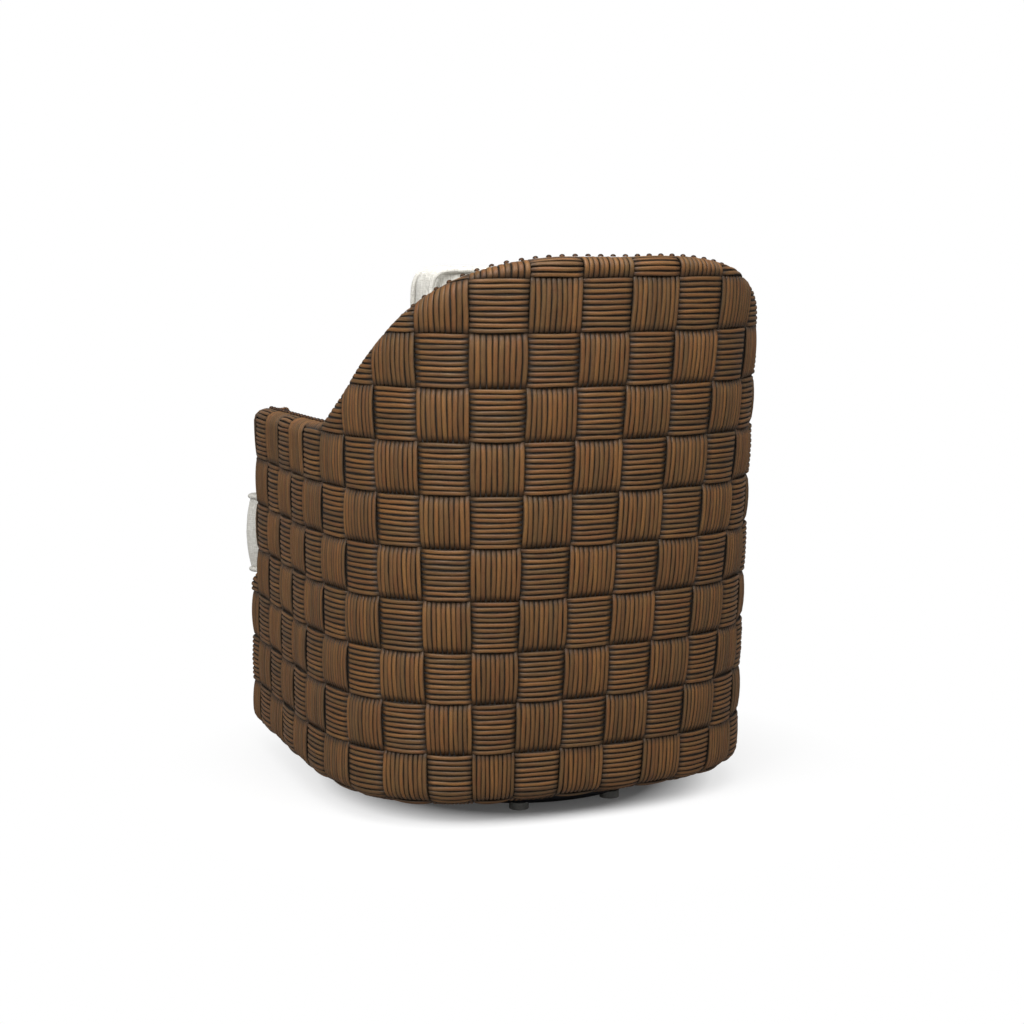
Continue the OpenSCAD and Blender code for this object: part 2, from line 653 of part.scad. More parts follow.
// Nail heads along the band's inner edge
nail_inset = 5;
nail_top_share = 0.55;
nail_lift = 0.6;
nail_count = floor(2 * (arm_end - nail_inset) / nail_pitch);
nail_d_out = -band_w + nail_inset;
edge_columns = concat(weave_columns(-arm_end, -arm_join), weave_columns(-arm_join, arm_join), weave_columns(arm_join, arm_end));
edge_tables = [for (k = [0:2]) [for (c = edge_columns) [c, wall(c, nail_d_out, top_z(c))[k]]]];
function edge_point(s) = [for (table = edge_tables) lookup(s, table)];
module nail(s) {
    p = edge_point(s);
    along = unit(edge_point(s + nail_d / 2) - edge_point(s - nail_d / 2));
    out = toward(turn(abs(s)));
    up = unit(cross([sign(s) * out.x, out.y, 0], -along));
    side = cross(up, along);
    multmatrix([for (k = [0:2]) [along[k], side[k], up[k], p[k]]])
        translate([0, 0, nail_lift]) cylinder(h = nail_h, d1 = nail_d, d2 = nail_d * nail_top_share, $fn = 24);
}
module nail_heads() {
    color(nail_color) for (i = [0:nail_count]) nail((i - nail_count / 2) * nail_pitch);
}

// Floor ring, spider and glides
ring_r = ring_tube / 2;
ring_z = glide_h + ring_r;
spider_z = glide_h + ring_tube;
module ring_tube_shape(r) {
    translate([0, 0, ring_z]) rotate_extrude($fn = 96) translate([ring_radius, 0]) circle(r, $fn = 48);
}
module floor_ring() {
    color(steel_color) ring_tube_shape(ring_r);
}
module spider_outline(inset) {
    arm_len = ring_radius + ring_r / 2 - inset;
    arm_half = spider_w / 2 - inset;
    circle(hub_d / 2 - inset, $fn = 96);
    for (turned = [0, 90]) rotate(turned) translate([-arm_len, -arm_half]) square([2 * arm_len, 2 * arm_half]);
}
module base_spider() {
    color(steel_color) translate([0, 0, spider_z]) difference() {
        linear_extrude(spider_h) spider_outline(0);
        translate([0, 0, -cut_over]) linear_extrude(spider_h - spider_wall + cut_over) spider_outline(spider_wall);
        translate([0, 0, -cut_over]) cylinder(h = spider_h + 2 * cut_over, d = king_d + 2 * running_gap, $fn = 48);
    }
}
glide_cup = 4;
module floor_glides() {
    color("#222222") for (i = [0:glide_count - 1]) rotate((i + 0.5) * 360 / glide_count) difference() {
        translate([ring_radius, 0, 0]) cylinder(h = glide_h + glide_cup, d = glide_d, $fn = 48);
        ring_tube_shape(ring_r + running_gap);
    }
}

// Ball bearing: two grooved races, a cage and its balls, round a king pin
lower_race_z = spider_z + spider_h;
upper_race_z = lower_race_z + race_t + race_gap;
ball_z = lower_race_z + race_t + race_gap / 2;
ball_r = ball_d / 2;
module race(z) {
    color(bright_color) difference() {
        translate([0, 0, z]) cylinder(h = race_t, d = race_d, $fn = 96);
        translate([0, 0, z - cut_over]) cylinder(h = race_t + 2 * cut_over, d = race_bore, $fn = 96);
        translate([0, 0, ball_z]) rotate_extrude($fn = 96) translate([ball_ring_d / 2, 0]) circle(ball_r + running_gap, $fn = 32);
    }
}
module lower_race() {
    race(lower_race_z);
}
module upper_race() {
    race(upper_race_z);
}
module ball_places() {
    for (i = [0:ball_count - 1]) rotate(i * 360 / ball_count) translate([ball_ring_d / 2, 0, ball_z]) children();
}
cage_t = 1.4;
cage_w = 17;
module ball_cage() {
    color(bright_color) difference() {
        translate([0, 0, ball_z - cage_t / 2]) cylinder(h = cage_t, d = ball_ring_d + cage_w, $fn = 96);
        translate([0, 0, ball_z - cage_t]) cylinder(h = 2 * cage_t, d = ball_ring_d - cage_w, $fn = 96);
        ball_places() translate([0, 0, -cage_t]) cylinder(h = 2 * cage_t, r = ball_r + 2 * running_gap, $fn = 32);
    }
}
module bearing_balls() {
    color(bright_color) ball_places() sphere(ball_r, $fn = 32);
}
king_flange_d = 26;
king_flange_h = 4;
module king_pin() {
    under = spider_z + spider_h - spider_wall - king_flange_h;
    top = lower_plate_top + fit_gap;
    color(bright_color) {
        translate([0, 0, under]) cylinder(h = top + king_flange_h - under, d = king_d, $fn = 48);
        translate([0, 0, under]) cylinder(h = king_flange_h, d = king_flange_d, $fn = 48);
        translate([0, 0, top]) cylinder(h = king_flange_h, d = king_flange_d, $fn = 48);
    }
}

// Rocker: a lower bracket that swivels, an upper bracket that rocks on two pins
lower_plate_z = upper_race_z + race_t;
lower_plate_top = lower_plate_z + plate_t;
upper_plate_z = mount_z - plate_t;
upper_plate_over = 18;
ear_foot = 32;
ear_x = plate_half_w - plate_t;
upper_ear_x = ear_x - ear_gap - plate_t;
pin_r = pin_d / 2;
screw_x = 100;
screw_d = 8;
screw_len = 46;
screw_head_d = 15;
screw_head_h = 5;
module ear_outline_shape(foot_z) {
    polygon([[-ear_foot, foot_z], [ear_foot, foot_z], [ear_r, pivot_z], [-ear_r, pivot_z]]);
    translate([0, pivot_z]) circle(ear_r, $fn = 64);
}
module ear(x, foot_z, hole_r) {
    difference() {
        translate([x, 0, 0]) rotate([90, 0, 90]) linear_extrude(plate_t) ear_outline_shape(foot_z);
        translate([x - cut_over, 0, pivot_z]) rotate([0, 90, 0]) cylinder(h = plate_t + 2 * cut_over, r = hole_r, $fn = 48);
    }
}
module both_sides() {
    children();
    mirror([1, 0, 0]) children();
}
spring_boss_h = 5;
module spring_bosses(z) {
    for (x = [-coil_x, coil_x]) for (y = [-coil_y, coil_y]) translate([x, y, z])
        cylinder(h = spring_boss_h, r = coil_r - coil_wire / 2 - cushion_gap, $fn = 48);
}
module rocker_lower_bracket() {
    color(steel_color) difference() {
        union() {
            translate([-plate_half_w, -plate_half_d, lower_plate_z]) cube([2 * plate_half_w, 2 * plate_half_d, plate_t]);
            both_sides() ear(ear_x, lower_plate_z, bush_d / 2 + running_gap);
            spring_bosses(lower_plate_top);
        }
        translate([0, 0, lower_plate_z - cut_over])
            cylinder(h = plate_t + 2 * cut_over, d = king_d + 2 * running_gap, $fn = 48);
    }
}
upper_plate_half_d = mount_rail_y + mount_rail_t / 2;
module rocker_upper_bracket() {
    color(steel_color) difference() {
        union() {
            translate([-plate_half_w - upper_plate_over, -upper_plate_half_d, upper_plate_z])
                cube([2 * (plate_half_w + upper_plate_over), 2 * upper_plate_half_d, plate_t]);
            both_sides() ear(upper_ear_x, upper_plate_z, pin_r + running_gap);
            spring_bosses(upper_plate_z - spring_boss_h);
        }
        for (x = [-screw_x, screw_x]) for (y = [-mount_rail_y, mount_rail_y])
            translate([x, y, upper_plate_z - cut_over]) cylinder(h = plate_t + 2 * cut_over, d = screw_d + fit_gap, $fn = 32);
    }
}
bush_flange_d = 26;
module pivot_bushings() {
    low = ear_x - ear_gap + fit_gap;
    color("#d8d4c8") both_sides() translate([0, 0, pivot_z]) rotate([0, 90, 0]) difference() {
        union() {
            translate([0, 0, low]) cylinder(h = ear_gap - fit_gap, d = bush_flange_d, $fn = 48);
            translate([0, 0, low]) cylinder(h = plate_half_w + cut_over - low, d = bush_d, $fn = 48);
        }
        translate([0, 0, low - cut_over]) cylinder(h = plate_half_w + 3 * cut_over - low, r = pin_r + running_gap, $fn = 48);
    }
}
pin_head_d = 20;
pin_head_h = 4;
module pivot_pins() {
    inner = upper_ear_x - pin_head_h - fit_gap;
    outer = plate_half_w + cut_over + fit_gap;
    color(bright_color) both_sides() translate([0, 0, pivot_z]) rotate([0, 90, 0]) {
        translate([0, 0, inner]) cylinder(h = outer + pin_head_h - inner, r = pin_r, $fn = 48);
        translate([0, 0, inner]) cylinder(h = pin_head_h, d = pin_head_d, $fn = 48);
        translate([0, 0, outer]) cylinder(h = pin_head_h, d = pin_head_d, $fn = 48);
    }
}
module mount_screws() {
    color(bright_color) for (x = [-screw_x, screw_x]) for (y = [-mount_rail_y, mount_rail_y]) translate([x, y, 0]) {
        translate([0, 0, upper_plate_z - screw_head_h]) cylinder(h = screw_head_h, d = screw_head_d, $fn = 6);
        translate([0, 0, upper_plate_z - screw_head_h])
            cylinder(h = screw_head_h + plate_t + screw_len - 2 * cut_over, d = screw_d - fit_gap, $fn = 32);
    }
}

// Coil springs: a helix whose ends run straight into the plates
coil_low = lower_plate_top + fit_gap;
coil_high = upper_plate_z - fit_gap;
coil_steps = 8;
coil_sides = 6;
function coil_angle(i) = 360 * i / coil_steps;
function coil_path() =
    let (n = coil_turns * coil_steps, from = coil_low + coil_wire, to = coil_high - coil_wire)
    concat([[coil_r, 0, coil_low]],
        [for (i = [0:n]) [coil_r * cos(coil_angle(i)), coil_r * sin(coil_angle(i)), from + (to - from) * i / n]],
        [[coil_r, 0, coil_high]]);
function coil_ring(p, along) =
    let (out = unit([p.x, p.y, 0]), up = unit(cross(along, out)))
    [for (k = [0:coil_sides - 1]) let (t = 360 * k / coil_sides) p + coil_wire / 2 * (cos(t) * out + sin(t) * up)];
module coil_spring(x, y) {
    path = coil_path();
    last = len(path) - 1;
    color(bright_color) translate([x, y, 0]) loft([for (i = [0:last])
        coil_ring(path[i], i == 0 || i == last ? [0, 0, 1] : path[i + 1] - path[i - 1])]);
}
coil_points = coil_path();
coil_gap = min([for (i = [0:len(coil_points) - 1]) for (j = [i + coil_steps / 2:len(coil_points) - 1])
    if (j < len(coil_points)) norm(coil_points[i] - coil_points[j])]) - coil_wire;
echo("least gap between the coils of a spring", coil_gap);

floor_ring();
base_spider();
floor_glides();
lower_race();
king_pin();
ball_cage();
bearing_balls();
upper_race();
rocker_lower_bracket();
pivot_bushings();
coil_spring(coil_x, -coil_y);  // coil_spring_front_left
coil_spring(-coil_x, -coil_y);  // coil_spring_front_right
coil_spring(coil_x, coil_y);  // coil_spring_back_left
coil_spring(-coil_x, coil_y);  // coil_spring_back_right
rocker_upper_bracket();
pivot_pins();
mount_screws();
mount_rail(-mount_rail_y);  // mount_rail_front
mount_rail(mount_rail_y);  // mount_rail_back
base_rail();
seat_rail_back();
seat_rail(1);  // seat_rail_left
seat_rail(-1);  // seat_rail_right
seat_rail_front();
front_board();
corner_blocks();
post(back_post_s);  // back_post_left
post(-back_post_s);  // back_post_right
post(wing_post_s);  // wing_post_left
post(-wing_post_s);  // wing_post_right
post(arm_post_s);  // arm_post_left
post(-arm_post_s);  // arm_post_right
back_top_rail();
arm_rail(1);  // arm_rail_left
arm_rail(-1);  // arm_rail_right
sinuous_springs();
spring_clips();
dust_cover();
seat_deck();
deck_pad();
inner_back_pad();
inner_arm_pad(1);  // inner_arm_pad_left
inner_arm_pad(-1);  // inner_arm_pad_right
woven_back();
woven_arm(1);  // woven_arm_left
woven_arm(-1);  // woven_arm_right
arm_front(1);  // arm_front_left
arm_front(-1);  // arm_front_right
woven_front();
nail_heads();
seat_cushion();
back_cushion();
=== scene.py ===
# %% [markdown]
# # A woven swivel rocker, dressed piece by piece
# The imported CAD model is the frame: every piece below is placed in its coordinates, in metres.
# The chair looks towards -Y and the camera stands behind it, at the sitter's left shoulder.

# %% The frame
import json
import math
import bmesh
import bpy
import numpy as np
from mathutils import Matrix, Vector


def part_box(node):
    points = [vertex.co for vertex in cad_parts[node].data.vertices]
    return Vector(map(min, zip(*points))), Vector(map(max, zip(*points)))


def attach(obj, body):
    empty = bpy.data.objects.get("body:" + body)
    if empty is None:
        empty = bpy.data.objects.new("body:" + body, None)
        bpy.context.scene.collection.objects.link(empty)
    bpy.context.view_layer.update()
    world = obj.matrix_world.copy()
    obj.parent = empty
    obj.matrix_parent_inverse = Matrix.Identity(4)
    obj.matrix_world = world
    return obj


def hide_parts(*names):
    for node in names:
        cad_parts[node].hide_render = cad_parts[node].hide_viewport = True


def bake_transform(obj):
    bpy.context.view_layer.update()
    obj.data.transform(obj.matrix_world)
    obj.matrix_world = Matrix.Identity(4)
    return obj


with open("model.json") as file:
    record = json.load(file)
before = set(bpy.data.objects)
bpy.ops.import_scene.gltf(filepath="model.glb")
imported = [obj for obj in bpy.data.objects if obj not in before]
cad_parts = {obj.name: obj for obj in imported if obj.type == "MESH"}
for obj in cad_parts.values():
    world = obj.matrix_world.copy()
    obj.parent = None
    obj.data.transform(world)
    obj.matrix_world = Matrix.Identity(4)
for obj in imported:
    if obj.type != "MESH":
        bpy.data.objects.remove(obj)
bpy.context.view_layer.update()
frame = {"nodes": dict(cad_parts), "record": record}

nodes = frame["nodes"]

# %% [markdown]
# ## Camera
# The photograph was taken from behind and from the sitter's left, just above the crest. The view was
# solved from the weave's own grid: its columns and rows are evenly spaced on the real chair, so
# the place of each crossing in the picture fixes where the camera stood and how it was turned.

# %% Camera
def placed(name, data):
    """A new object in the scene from its data."""
    made = bpy.data.objects.new(name, data)
    bpy.context.scene.collection.objects.link(made)
    return made


def aim(yaw, pitch):
    """Turning of a camera whose view runs along (-sin yaw cos pitch, -cos yaw cos pitch, -sin pitch)."""
    ahead = Vector((-math.sin(yaw) * math.cos(pitch), -math.cos(yaw) * math.cos(pitch), -math.sin(pitch)))
    right = Vector((-math.cos(yaw), math.sin(yaw), 0))
    up = right.cross(ahead)
    return Matrix((right, up, -ahead)).transposed().to_4x4()


SENSOR, FOCAL_PIXELS, PICTURE_PIXELS = 36, 2000, 1024
CAMERA_AT, CAMERA_YAW, CAMERA_PITCH = (1.3908, 3.0682, 0.9237), 0.42428, 0.13817
lens = bpy.data.cameras.new("camera")
lens.sensor_width = SENSOR
lens.lens = SENSOR * FOCAL_PIXELS / PICTURE_PIXELS
lens.clip_end = 60
camera = placed("camera", lens)
camera.matrix_world = Matrix.Translation(CAMERA_AT) @ aim(CAMERA_YAW, CAMERA_PITCH)
bpy.context.scene.camera = camera
bpy.context.scene.view_settings.view_transform = "Standard"
print("camera", [round(v, 3) for v in camera.matrix_world.translation])

# %% [markdown]
# ## Building nodes
# Each finish is a small tree of shader nodes. These helpers add a node, wire it, and keep the
# trees short enough to read.

# %% Node helpers
def add(tree, kind, values=None, **settings):
    """A new node of a kind; values go to its inputs, or are linked where they are sockets."""
    node = tree.nodes.new(kind)
    for key, value in settings.items():
        setattr(node, key, value)
    for key, value in (values or {}).items():
        if isinstance(value, bpy.types.NodeSocket):
            tree.links.new(value, node.inputs[key])
        else:
            node.inputs[key].default_value = value
    return node


def maths(tree, operation, a, b=0.0, c=0.0):
    """One sum on two or three numbers or sockets."""
    return add(tree, "ShaderNodeMath", {0: a, 1: b, 2: c}, operation=operation).outputs[0]


def share_of(tree, factor, share):
    """A factor times a share."""
    return maths(tree, "MULTIPLY", factor, share)


def mapped(tree, value, low=0.0, high=1.0, to_low=0.0, to_high=1.0):
    """A value carried from the range low to high to another one, and kept inside it."""
    return add(tree, "ShaderNodeMapRange", {0: value, 1: low, 2: high, 3: to_low, 4: to_high}).outputs[0]


def noise(tree, place, scale, detail=2.0):
    """Noise from 0 to 1 at a place."""
    return add(tree, "ShaderNodeTexNoise", {"Vector": place, "Scale": scale, "Detail": detail}).outputs[0]


def own_place(tree):
    """The object's own coordinates."""
    return add(tree, "ShaderNodeTexCoord").outputs["Object"]


def fact(tree, name):
    """A number that the mesh carries for each of its points."""
    return add(tree, "ShaderNodeAttribute", attribute_name=name).outputs["Fac"]


def ramp(tree, factor, stops):
    """Colours along a factor from 0 to 1; stops are (place, colour)."""
    node = add(tree, "ShaderNodeValToRGB", {"Fac": factor})
    while len(node.color_ramp.elements) < len(stops):
        node.color_ramp.elements.new(0.5)
    for element, (place, colour) in zip(node.color_ramp.elements, stops):
        element.position = place
        element.color = (*colour, 1)
    return node.outputs["Color"]


def blended(tree, factor, a, b):
    """Two colours or sockets mixed by a factor."""
    node = add(tree, "ShaderNodeMix", {"Factor": factor}, data_type="RGBA")
    for name, value in ((6, a), (7, b)):
        if isinstance(value, bpy.types.NodeSocket):
            tree.links.new(value, node.inputs[name])
        else:
            node.inputs[name].default_value = (*value, 1) if len(value) == 3 else value
    return node.outputs[2]


def srgb(r, g, b):
    """A colour read from a picture, 0 to 255, as the linear values that a shader takes."""
    c = np.array([r, g, b]) / 255
    return tuple(float(v) for v in np.where(c <= 0.04045, c / 12.92, ((c + 0.055) / 1.055) ** 2.4))


def finish(name, roughness=0.6, metallic=0.0, **sockets):
    """A material with one Principled shader, ready for its pattern: (material, tree, shader)."""
    material = bpy.data.materials.new(name)
    material.use_nodes = True
    tree = material.node_tree
    shader = tree.nodes["Principled BSDF"]
    shader.inputs["Roughness"].default_value = roughness
    shader.inputs["Metallic"].default_value = metallic
    for key, value in sockets.items():
        shader.inputs[key.replace("_", " ")].default_value = value
    return material, tree, shader


def coloured(tree, shader, colour):
    """Gives the shader its colour."""
    tree.links.new(colour, shader.inputs["Base Color"])


def bumped(tree, shader, height, strength, distance):
    """Raises the surface by a height from 0 to 1, times a distance in metres."""
    bump = add(tree, "ShaderNodeBump", {"Height": height, "Strength": strength, "Distance": distance})
    tree.links.new(bump.outputs["Normal"], shader.inputs["Normal"])


def group(name, inputs, outputs):
    """An empty node group that takes a vector and numbers, and gives numbers: (group, its input node,
    its output node)."""
    made = bpy.data.node_groups.new(name, "ShaderNodeTree")
    made.interface.new_socket("Vector", in_out="INPUT", socket_type="NodeSocketVector")
    for way, labels in (("INPUT", inputs), ("OUTPUT", outputs)):
        for label in labels:
            made.interface.new_socket(label, in_out=way, socket_type="NodeSocketFloat")
    return made, made.nodes.new("NodeGroupInput"), made.nodes.new("NodeGroupOutput")


def use(tree, made, **values):
    """Places a group in a material with its own values; an underscore in a name stands for a space."""
    node = tree.nodes.new("ShaderNodeGroup")
    node.node_tree = made
    for key, value in values.items():
        socket = node.inputs[key.replace("_", " ")]
        if isinstance(value, bpy.types.NodeSocket):
            tree.links.new(value, socket)
        else:
            socket.default_value = value
    return node


# %% [markdown]
# ## Shared effects
# Three effects come back in several finishes: grain that runs along a fibre, the threads of a
# cloth, and the mottling that handling leaves on metal and plastic. Each is a node group, so that
# every finish uses the same effect with its own scale.

# %% Grain, threads and mottling
def fibre_grain():
    """Streaks along a direction: noise on coordinates that are squeezed across it."""
    made, given, out = group("fibre_grain", ["Scale", "Stretch"], ["Mask", "Fine"])
    place, scale, stretch = (given.outputs[k] for k in ("Vector", "Scale", "Stretch"))
    parts = add(made, "ShaderNodeSeparateXYZ", {0: place}).outputs
    along = maths(made, "DIVIDE", parts[0], stretch)
    squeezed = add(made, "ShaderNodeCombineXYZ", {0: along, 1: parts[1], 2: parts[2]}).outputs[0]
    coarse = noise(made, squeezed, scale, 3.0)
    fine = noise(made, squeezed, share_of(made, scale, 3.5))
    for output, found in ((0, coarse), (1, fine)):
        made.links.new(mapped(made, found, 0.3, 0.7), out.inputs[output])
    return made


def cloth_threads():
    """Slubby threads both ways: two stretched noises, one along each thread, and their sum."""
    made, given, out = group("cloth_threads", ["Threads"], ["Height", "Slub"])
    found = []
    for squeeze in ((0.09, 1, 0.5), (1, 0.09, 0.5)):
        values = {0: given.outputs["Vector"], 1: squeeze}
        drawn = add(made, "ShaderNodeVectorMath", values, operation="MULTIPLY").outputs[0]
        found.append(noise(made, drawn, given.outputs["Threads"], 1.5))
    both = share_of(made, maths(made, "ADD", *found), 0.5)
    made.links.new(mapped(made, both, 0.36, 0.64), out.inputs["Height"])
    made.links.new(mapped(made, maths(made, "MAXIMUM", *found), 0.58, 0.76), out.inputs["Slub"])
    return made


def mottling():
    """Patches and fine specks from two noises."""
    made, given, out = group("mottling", ["Scale"], ["Patches", "Specks"])
    place, scale = given.outputs["Vector"], given.outputs["Scale"]
    patches = noise(made, place, scale, 4.0)
    specks = noise(made, place, share_of(made, scale, 14.0))
    for output, found in ((0, patches), (1, specks)):
        made.links.new(mapped(made, found, 0.35, 0.65), out.inputs[output])
    return made


grain, threads, mottle = fibre_grain(), cloth_threads(), mottling()
print("groups", [g.name for g in bpy.data.node_groups])

# %% [markdown]
# ## Finishes
# The outside is split rattan in bundles, stained mid-brown: each strip has its own tone and fine
# fibres along it, and its edges and ends are painted dark as shade, where the gaps between strips
# and the dives under the next bundle lie in shadow. The strips carry their tone and their own
# lengthwise and crosswise places as attributes, so the pattern follows them.

# %% Rattan and its backing
def rattan():
    """Stained rattan: a tone for each strip, streaks along it, and painted shade at its edges and ends."""
    material, tree, shader = finish("rattan", roughness=0.5, Specular_IOR_Level=0.35)
    tone, along, across, ending = (fact(tree, name) for name in ("tone", "along", "across", "ending"))
    values = {0: along, 1: share_of(tree, across, 0.004), 2: share_of(tree, tone, 3.0)}
    place = add(tree, "ShaderNodeCombineXYZ", values).outputs[0]
    fibres = use(tree, grain, Vector=place, Scale=420.0, Stretch=14.0)
    stain = ramp(tree, tone, [(0.0, srgb(79, 51, 27)), (0.2, srgb(115, 74, 37)),
                              (0.38, srgb(94, 67, 39)), (0.55, srgb(132, 85, 41)),
                              (0.75, srgb(106, 63, 32)), (1.0, srgb(142, 96, 49))])
    streaked = blended(tree, share_of(tree, fibres.outputs["Mask"], 0.6), stain, srgb(69, 45, 27))
    lit = blended(tree, share_of(tree, fibres.outputs["Fine"], 0.22), streaked, srgb(152, 106, 55))
    worn = use(tree, mottle, Vector=place, Scale=45.0)
    olive = blended(tree, share_of(tree, worn.outputs["Patches"], 0.26), lit, srgb(112, 92, 48))
    specked = blended(tree, share_of(tree, worn.outputs["Specks"], 0.3), olive, srgb(70, 46, 28))
    # Painted shade: the sides of each strip darken to near black, as the gaps between strips lie in shade.
    edge = mapped(tree, maths(tree, "ABSOLUTE", across), 0.5, 1.0, 0.0, 0.85)
    # Painted shadow: each strip darkens towards its ends, where it dives under the next bundle.
    ends = mapped(tree, ending, 0.0, 0.012, 0.75, 0.0)
    gap_shaded = blended(tree, edge, specked, srgb(38, 36, 28))
    coloured(tree, shader, blended(tree, ends, gap_shaded, srgb(27, 23, 17)))
    tree.links.new(mapped(tree, fibres.outputs["Mask"], 0.0, 1.0, 0.42, 0.68), shader.inputs["Roughness"])
    bumped(tree, shader, fibres.outputs["Mask"], 0.5, 0.0006)
    return material


def plain_cloth(name, roughness, count, dark, light, strength, depth, **sockets):
    """A dark cloth: two tones and a bump that follow its threads, with count as their noise's scale."""
    material, tree, shader = finish(name, roughness, **sockets)
    height = use(tree, threads, Vector=own_place(tree), Threads=count).outputs["Height"]
    coloured(tree, shader, blended(tree, height, dark, light))
    bumped(tree, shader, height, strength, depth)
    return material


rattan_finish = rattan()
# The backing is a dark cloth whose near black is painted shade: it shows through the gaps between the
# strips, where the inside of the weave lies in shade.
gap_shade_backing = plain_cloth("rattan_backing_shade", 0.9, 500.0, srgb(24, 20, 17), srgb(46, 38, 31), 0.4, 0.0006)

# %% [markdown]
# The inside is a pale, slubby linen weave. Its threads are about a millimetre apart, so the
# photograph shows them only as fine specks, with a few darker fibres.

# %% Linen and black cloth
def linen():
    """Greige linen on the piece's own cloth map, which is laid out in metres."""
    material, tree, shader = finish("linen", roughness=0.92, Sheen_Weight=0.15, Sheen_Roughness=0.5)
    place = add(tree, "ShaderNodeUVMap", uv_map="cloth").outputs["UV"]
    cloth = use(tree, threads, Vector=place, Threads=900.0)
    base = blended(tree, cloth.outputs["Height"], srgb(186, 183, 174), srgb(222, 220, 213))
    specks = mapped(tree, noise(tree, place, 420.0), 0.6, 0.72, 0.0, 0.5)
    speckled = blended(tree, specks, base, srgb(150, 143, 130))
    pale_slubs = share_of(tree, cloth.outputs["Slub"], 0.35)
    coloured(tree, shader, blended(tree, pale_slubs, speckled, srgb(236, 233, 226)))
    bumped(tree, shader, cloth.outputs["Height"], 0.6, 0.0008)
    return material


linen_finish = linen()
black_finish = plain_cloth("black_cloth", 0.85, 700.0, srgb(22, 22, 24), srgb(52, 52, 55), 0.5, 0.0005,
                           Sheen_Weight=0.1)

# %% [markdown]
# The frame timber, the steel of the swivel and rocker and the nylon bushings are mostly hidden, yet
# they show from below and at the joints, so each has its own finish, as the nail heads have.

# %% Timber, metals and plastics
def timber():
    """Pale beech: long grain along X with pores, from the object's own coordinates."""
    material, tree, shader = finish("timber", roughness=0.55)
    wood = use(tree, grain, Vector=own_place(tree), Scale=60.0, Stretch=9.0)
    tones = [(0.0, srgb(176, 134, 88)), (0.5, srgb(204, 164, 114)), (1.0, srgb(222, 186, 138))]
    base = ramp(tree, wood.outputs["Mask"], tones)
    pores = share_of(tree, wood.outputs["Fine"], 0.3)
    coloured(tree, shader, blended(tree, pores, base, srgb(140, 100, 62)))
    bumped(tree, shader, wood.outputs["Mask"], 0.3, 0.0004)
    return material


def metal(name, dark, light, metallic, roughness, scale):
    """A metal or moulded finish: two tones in patches, with specks in its roughness and surface."""
    material, tree, shader = finish(name, roughness=roughness, metallic=metallic)
    marks = use(tree, mottle, Vector=own_place(tree), Scale=scale)
    coloured(tree, shader, blended(tree, marks.outputs["Patches"], dark, light))
    rough = mapped(tree, marks.outputs["Specks"], 0.0, 1.0, roughness - 0.12, roughness + 0.12)
    tree.links.new(rough, shader.inputs["Roughness"])
    bumped(tree, shader, marks.outputs["Specks"], 0.25, 0.0003)
    return material


finishes = {
    "timber": timber(),
    "dark_steel": metal("dark_steel", srgb(38, 38, 40), srgb(62, 62, 65), 0.6, 0.5, 30.0),
    "bright_steel": metal("bright_steel", srgb(150, 152, 156), srgb(196, 198, 202), 1.0, 0.32, 40.0),
    "nylon": metal("nylon", srgb(214, 212, 204), srgb(232, 230, 224), 0.0, 0.45, 50.0),
    "glide": metal("glide", srgb(128, 127, 123), srgb(146, 144, 139), 0.0, 0.6, 60.0),
    "nail": metal("nail", srgb(46, 32, 24), srgb(92, 66, 48), 0.85, 0.42, 300.0),
    "black_cloth": black_finish, "linen": linen_finish, "woven": rattan_finish,
}
slot_of = {s["node"]: s["material_slot"] for s in frame["record"]["subparts"]}
for name, node in nodes.items():
    node.data.materials.clear()
    node.data.materials.append(finishes[slot_of[name]])
print("finishes", sorted(finishes))

# %% [markdown]
# ## The shell's own coordinates
# The outside of the chair is one wall that runs round the back and forward along both arms. A
# place on it is given by s, the distance round it from the middle of the back (positive to the
# sitter's left), t, the distance up it and over its rolled edges, and d, how far it stands
# proud. Seen from above the wall is a run of arcs: a shallow back, a tight corner, a nearly flat
# side, and straight to the front. The weave is laid out on s and t, so that it turns the corners
# and rolls over the edges as a real woven sheet does.

# %% Array helpers
def rising(v, low, high):
    """Share of the way from low to high, kept from 0 to 1. It falls where low is the greater one."""
    return np.clip((v - low) / (high - low), 0, 1)


def unit(v):
    """The rows of an array, each at length one."""
    return v / np.linalg.norm(v, axis=1)[:, None]


def around(a, radius=1.0):
    """Points of a circle in its plane at the angles a."""
    return radius * np.stack([np.cos(a), np.sin(a)], -1)


def full_turn(count):
    """Angles of so many points round a circle."""
    return np.linspace(0, 2 * math.pi, count, endpoint=False)


# %% Plan curves
def heading(t):
    """Outward direction in plan at a turn t from straight back."""
    return np.stack([np.sin(t), np.cos(t)], -1)


def plan(a, runs):
    """Points and outward turns at the distances a along a run of arcs. Each run is (length, radius),
    and a radius of None is straight; the point moves on along (cos turn, -sin turn)."""
    a = np.asarray(a, float)
    points, turns = np.zeros(a.shape + (2,)), np.zeros(a.shape)
    here, turn, begun = np.array([0.0, BACK_Y]), 0.0, 0.0
    for length, radius in runs:
        def at(u):
            if radius is None:
                ahead = np.array([math.cos(turn), -math.sin(turn)])
                return here + u[..., None] * ahead, np.full(u.shape, turn)
            middle = here - radius * heading(np.array(turn))
            return middle + radius * heading(turn + u / radius), turn + u / radius
        mask = a >= begun
        p, t = at(a - begun)
        points[mask], turns[mask] = p[mask], t[mask]
        p, t = at(np.array([length]))
        here, turn, begun = p[0], float(t[0]), begun + length
    return points, turns


BACK_Y = 0.351
BACK_RUNS = [(0.14294, 0.900), (0.30785, 0.256), (0.19764, 0.745)]
SIDE_S = sum(length for length, _ in BACK_RUNS)
SIDE_AT, SIDE_TURN = (v[0] for v in plan(np.array([SIDE_S]), BACK_RUNS + [(1.0, None)]))
LEAN, LEAN_Z = 0.119, 0.436


def side_distance(y):
    """Distance round the wall at which its straight side reaches the place y."""
    return SIDE_S + (SIDE_AT[1] - y) / math.sin(SIDE_TURN)


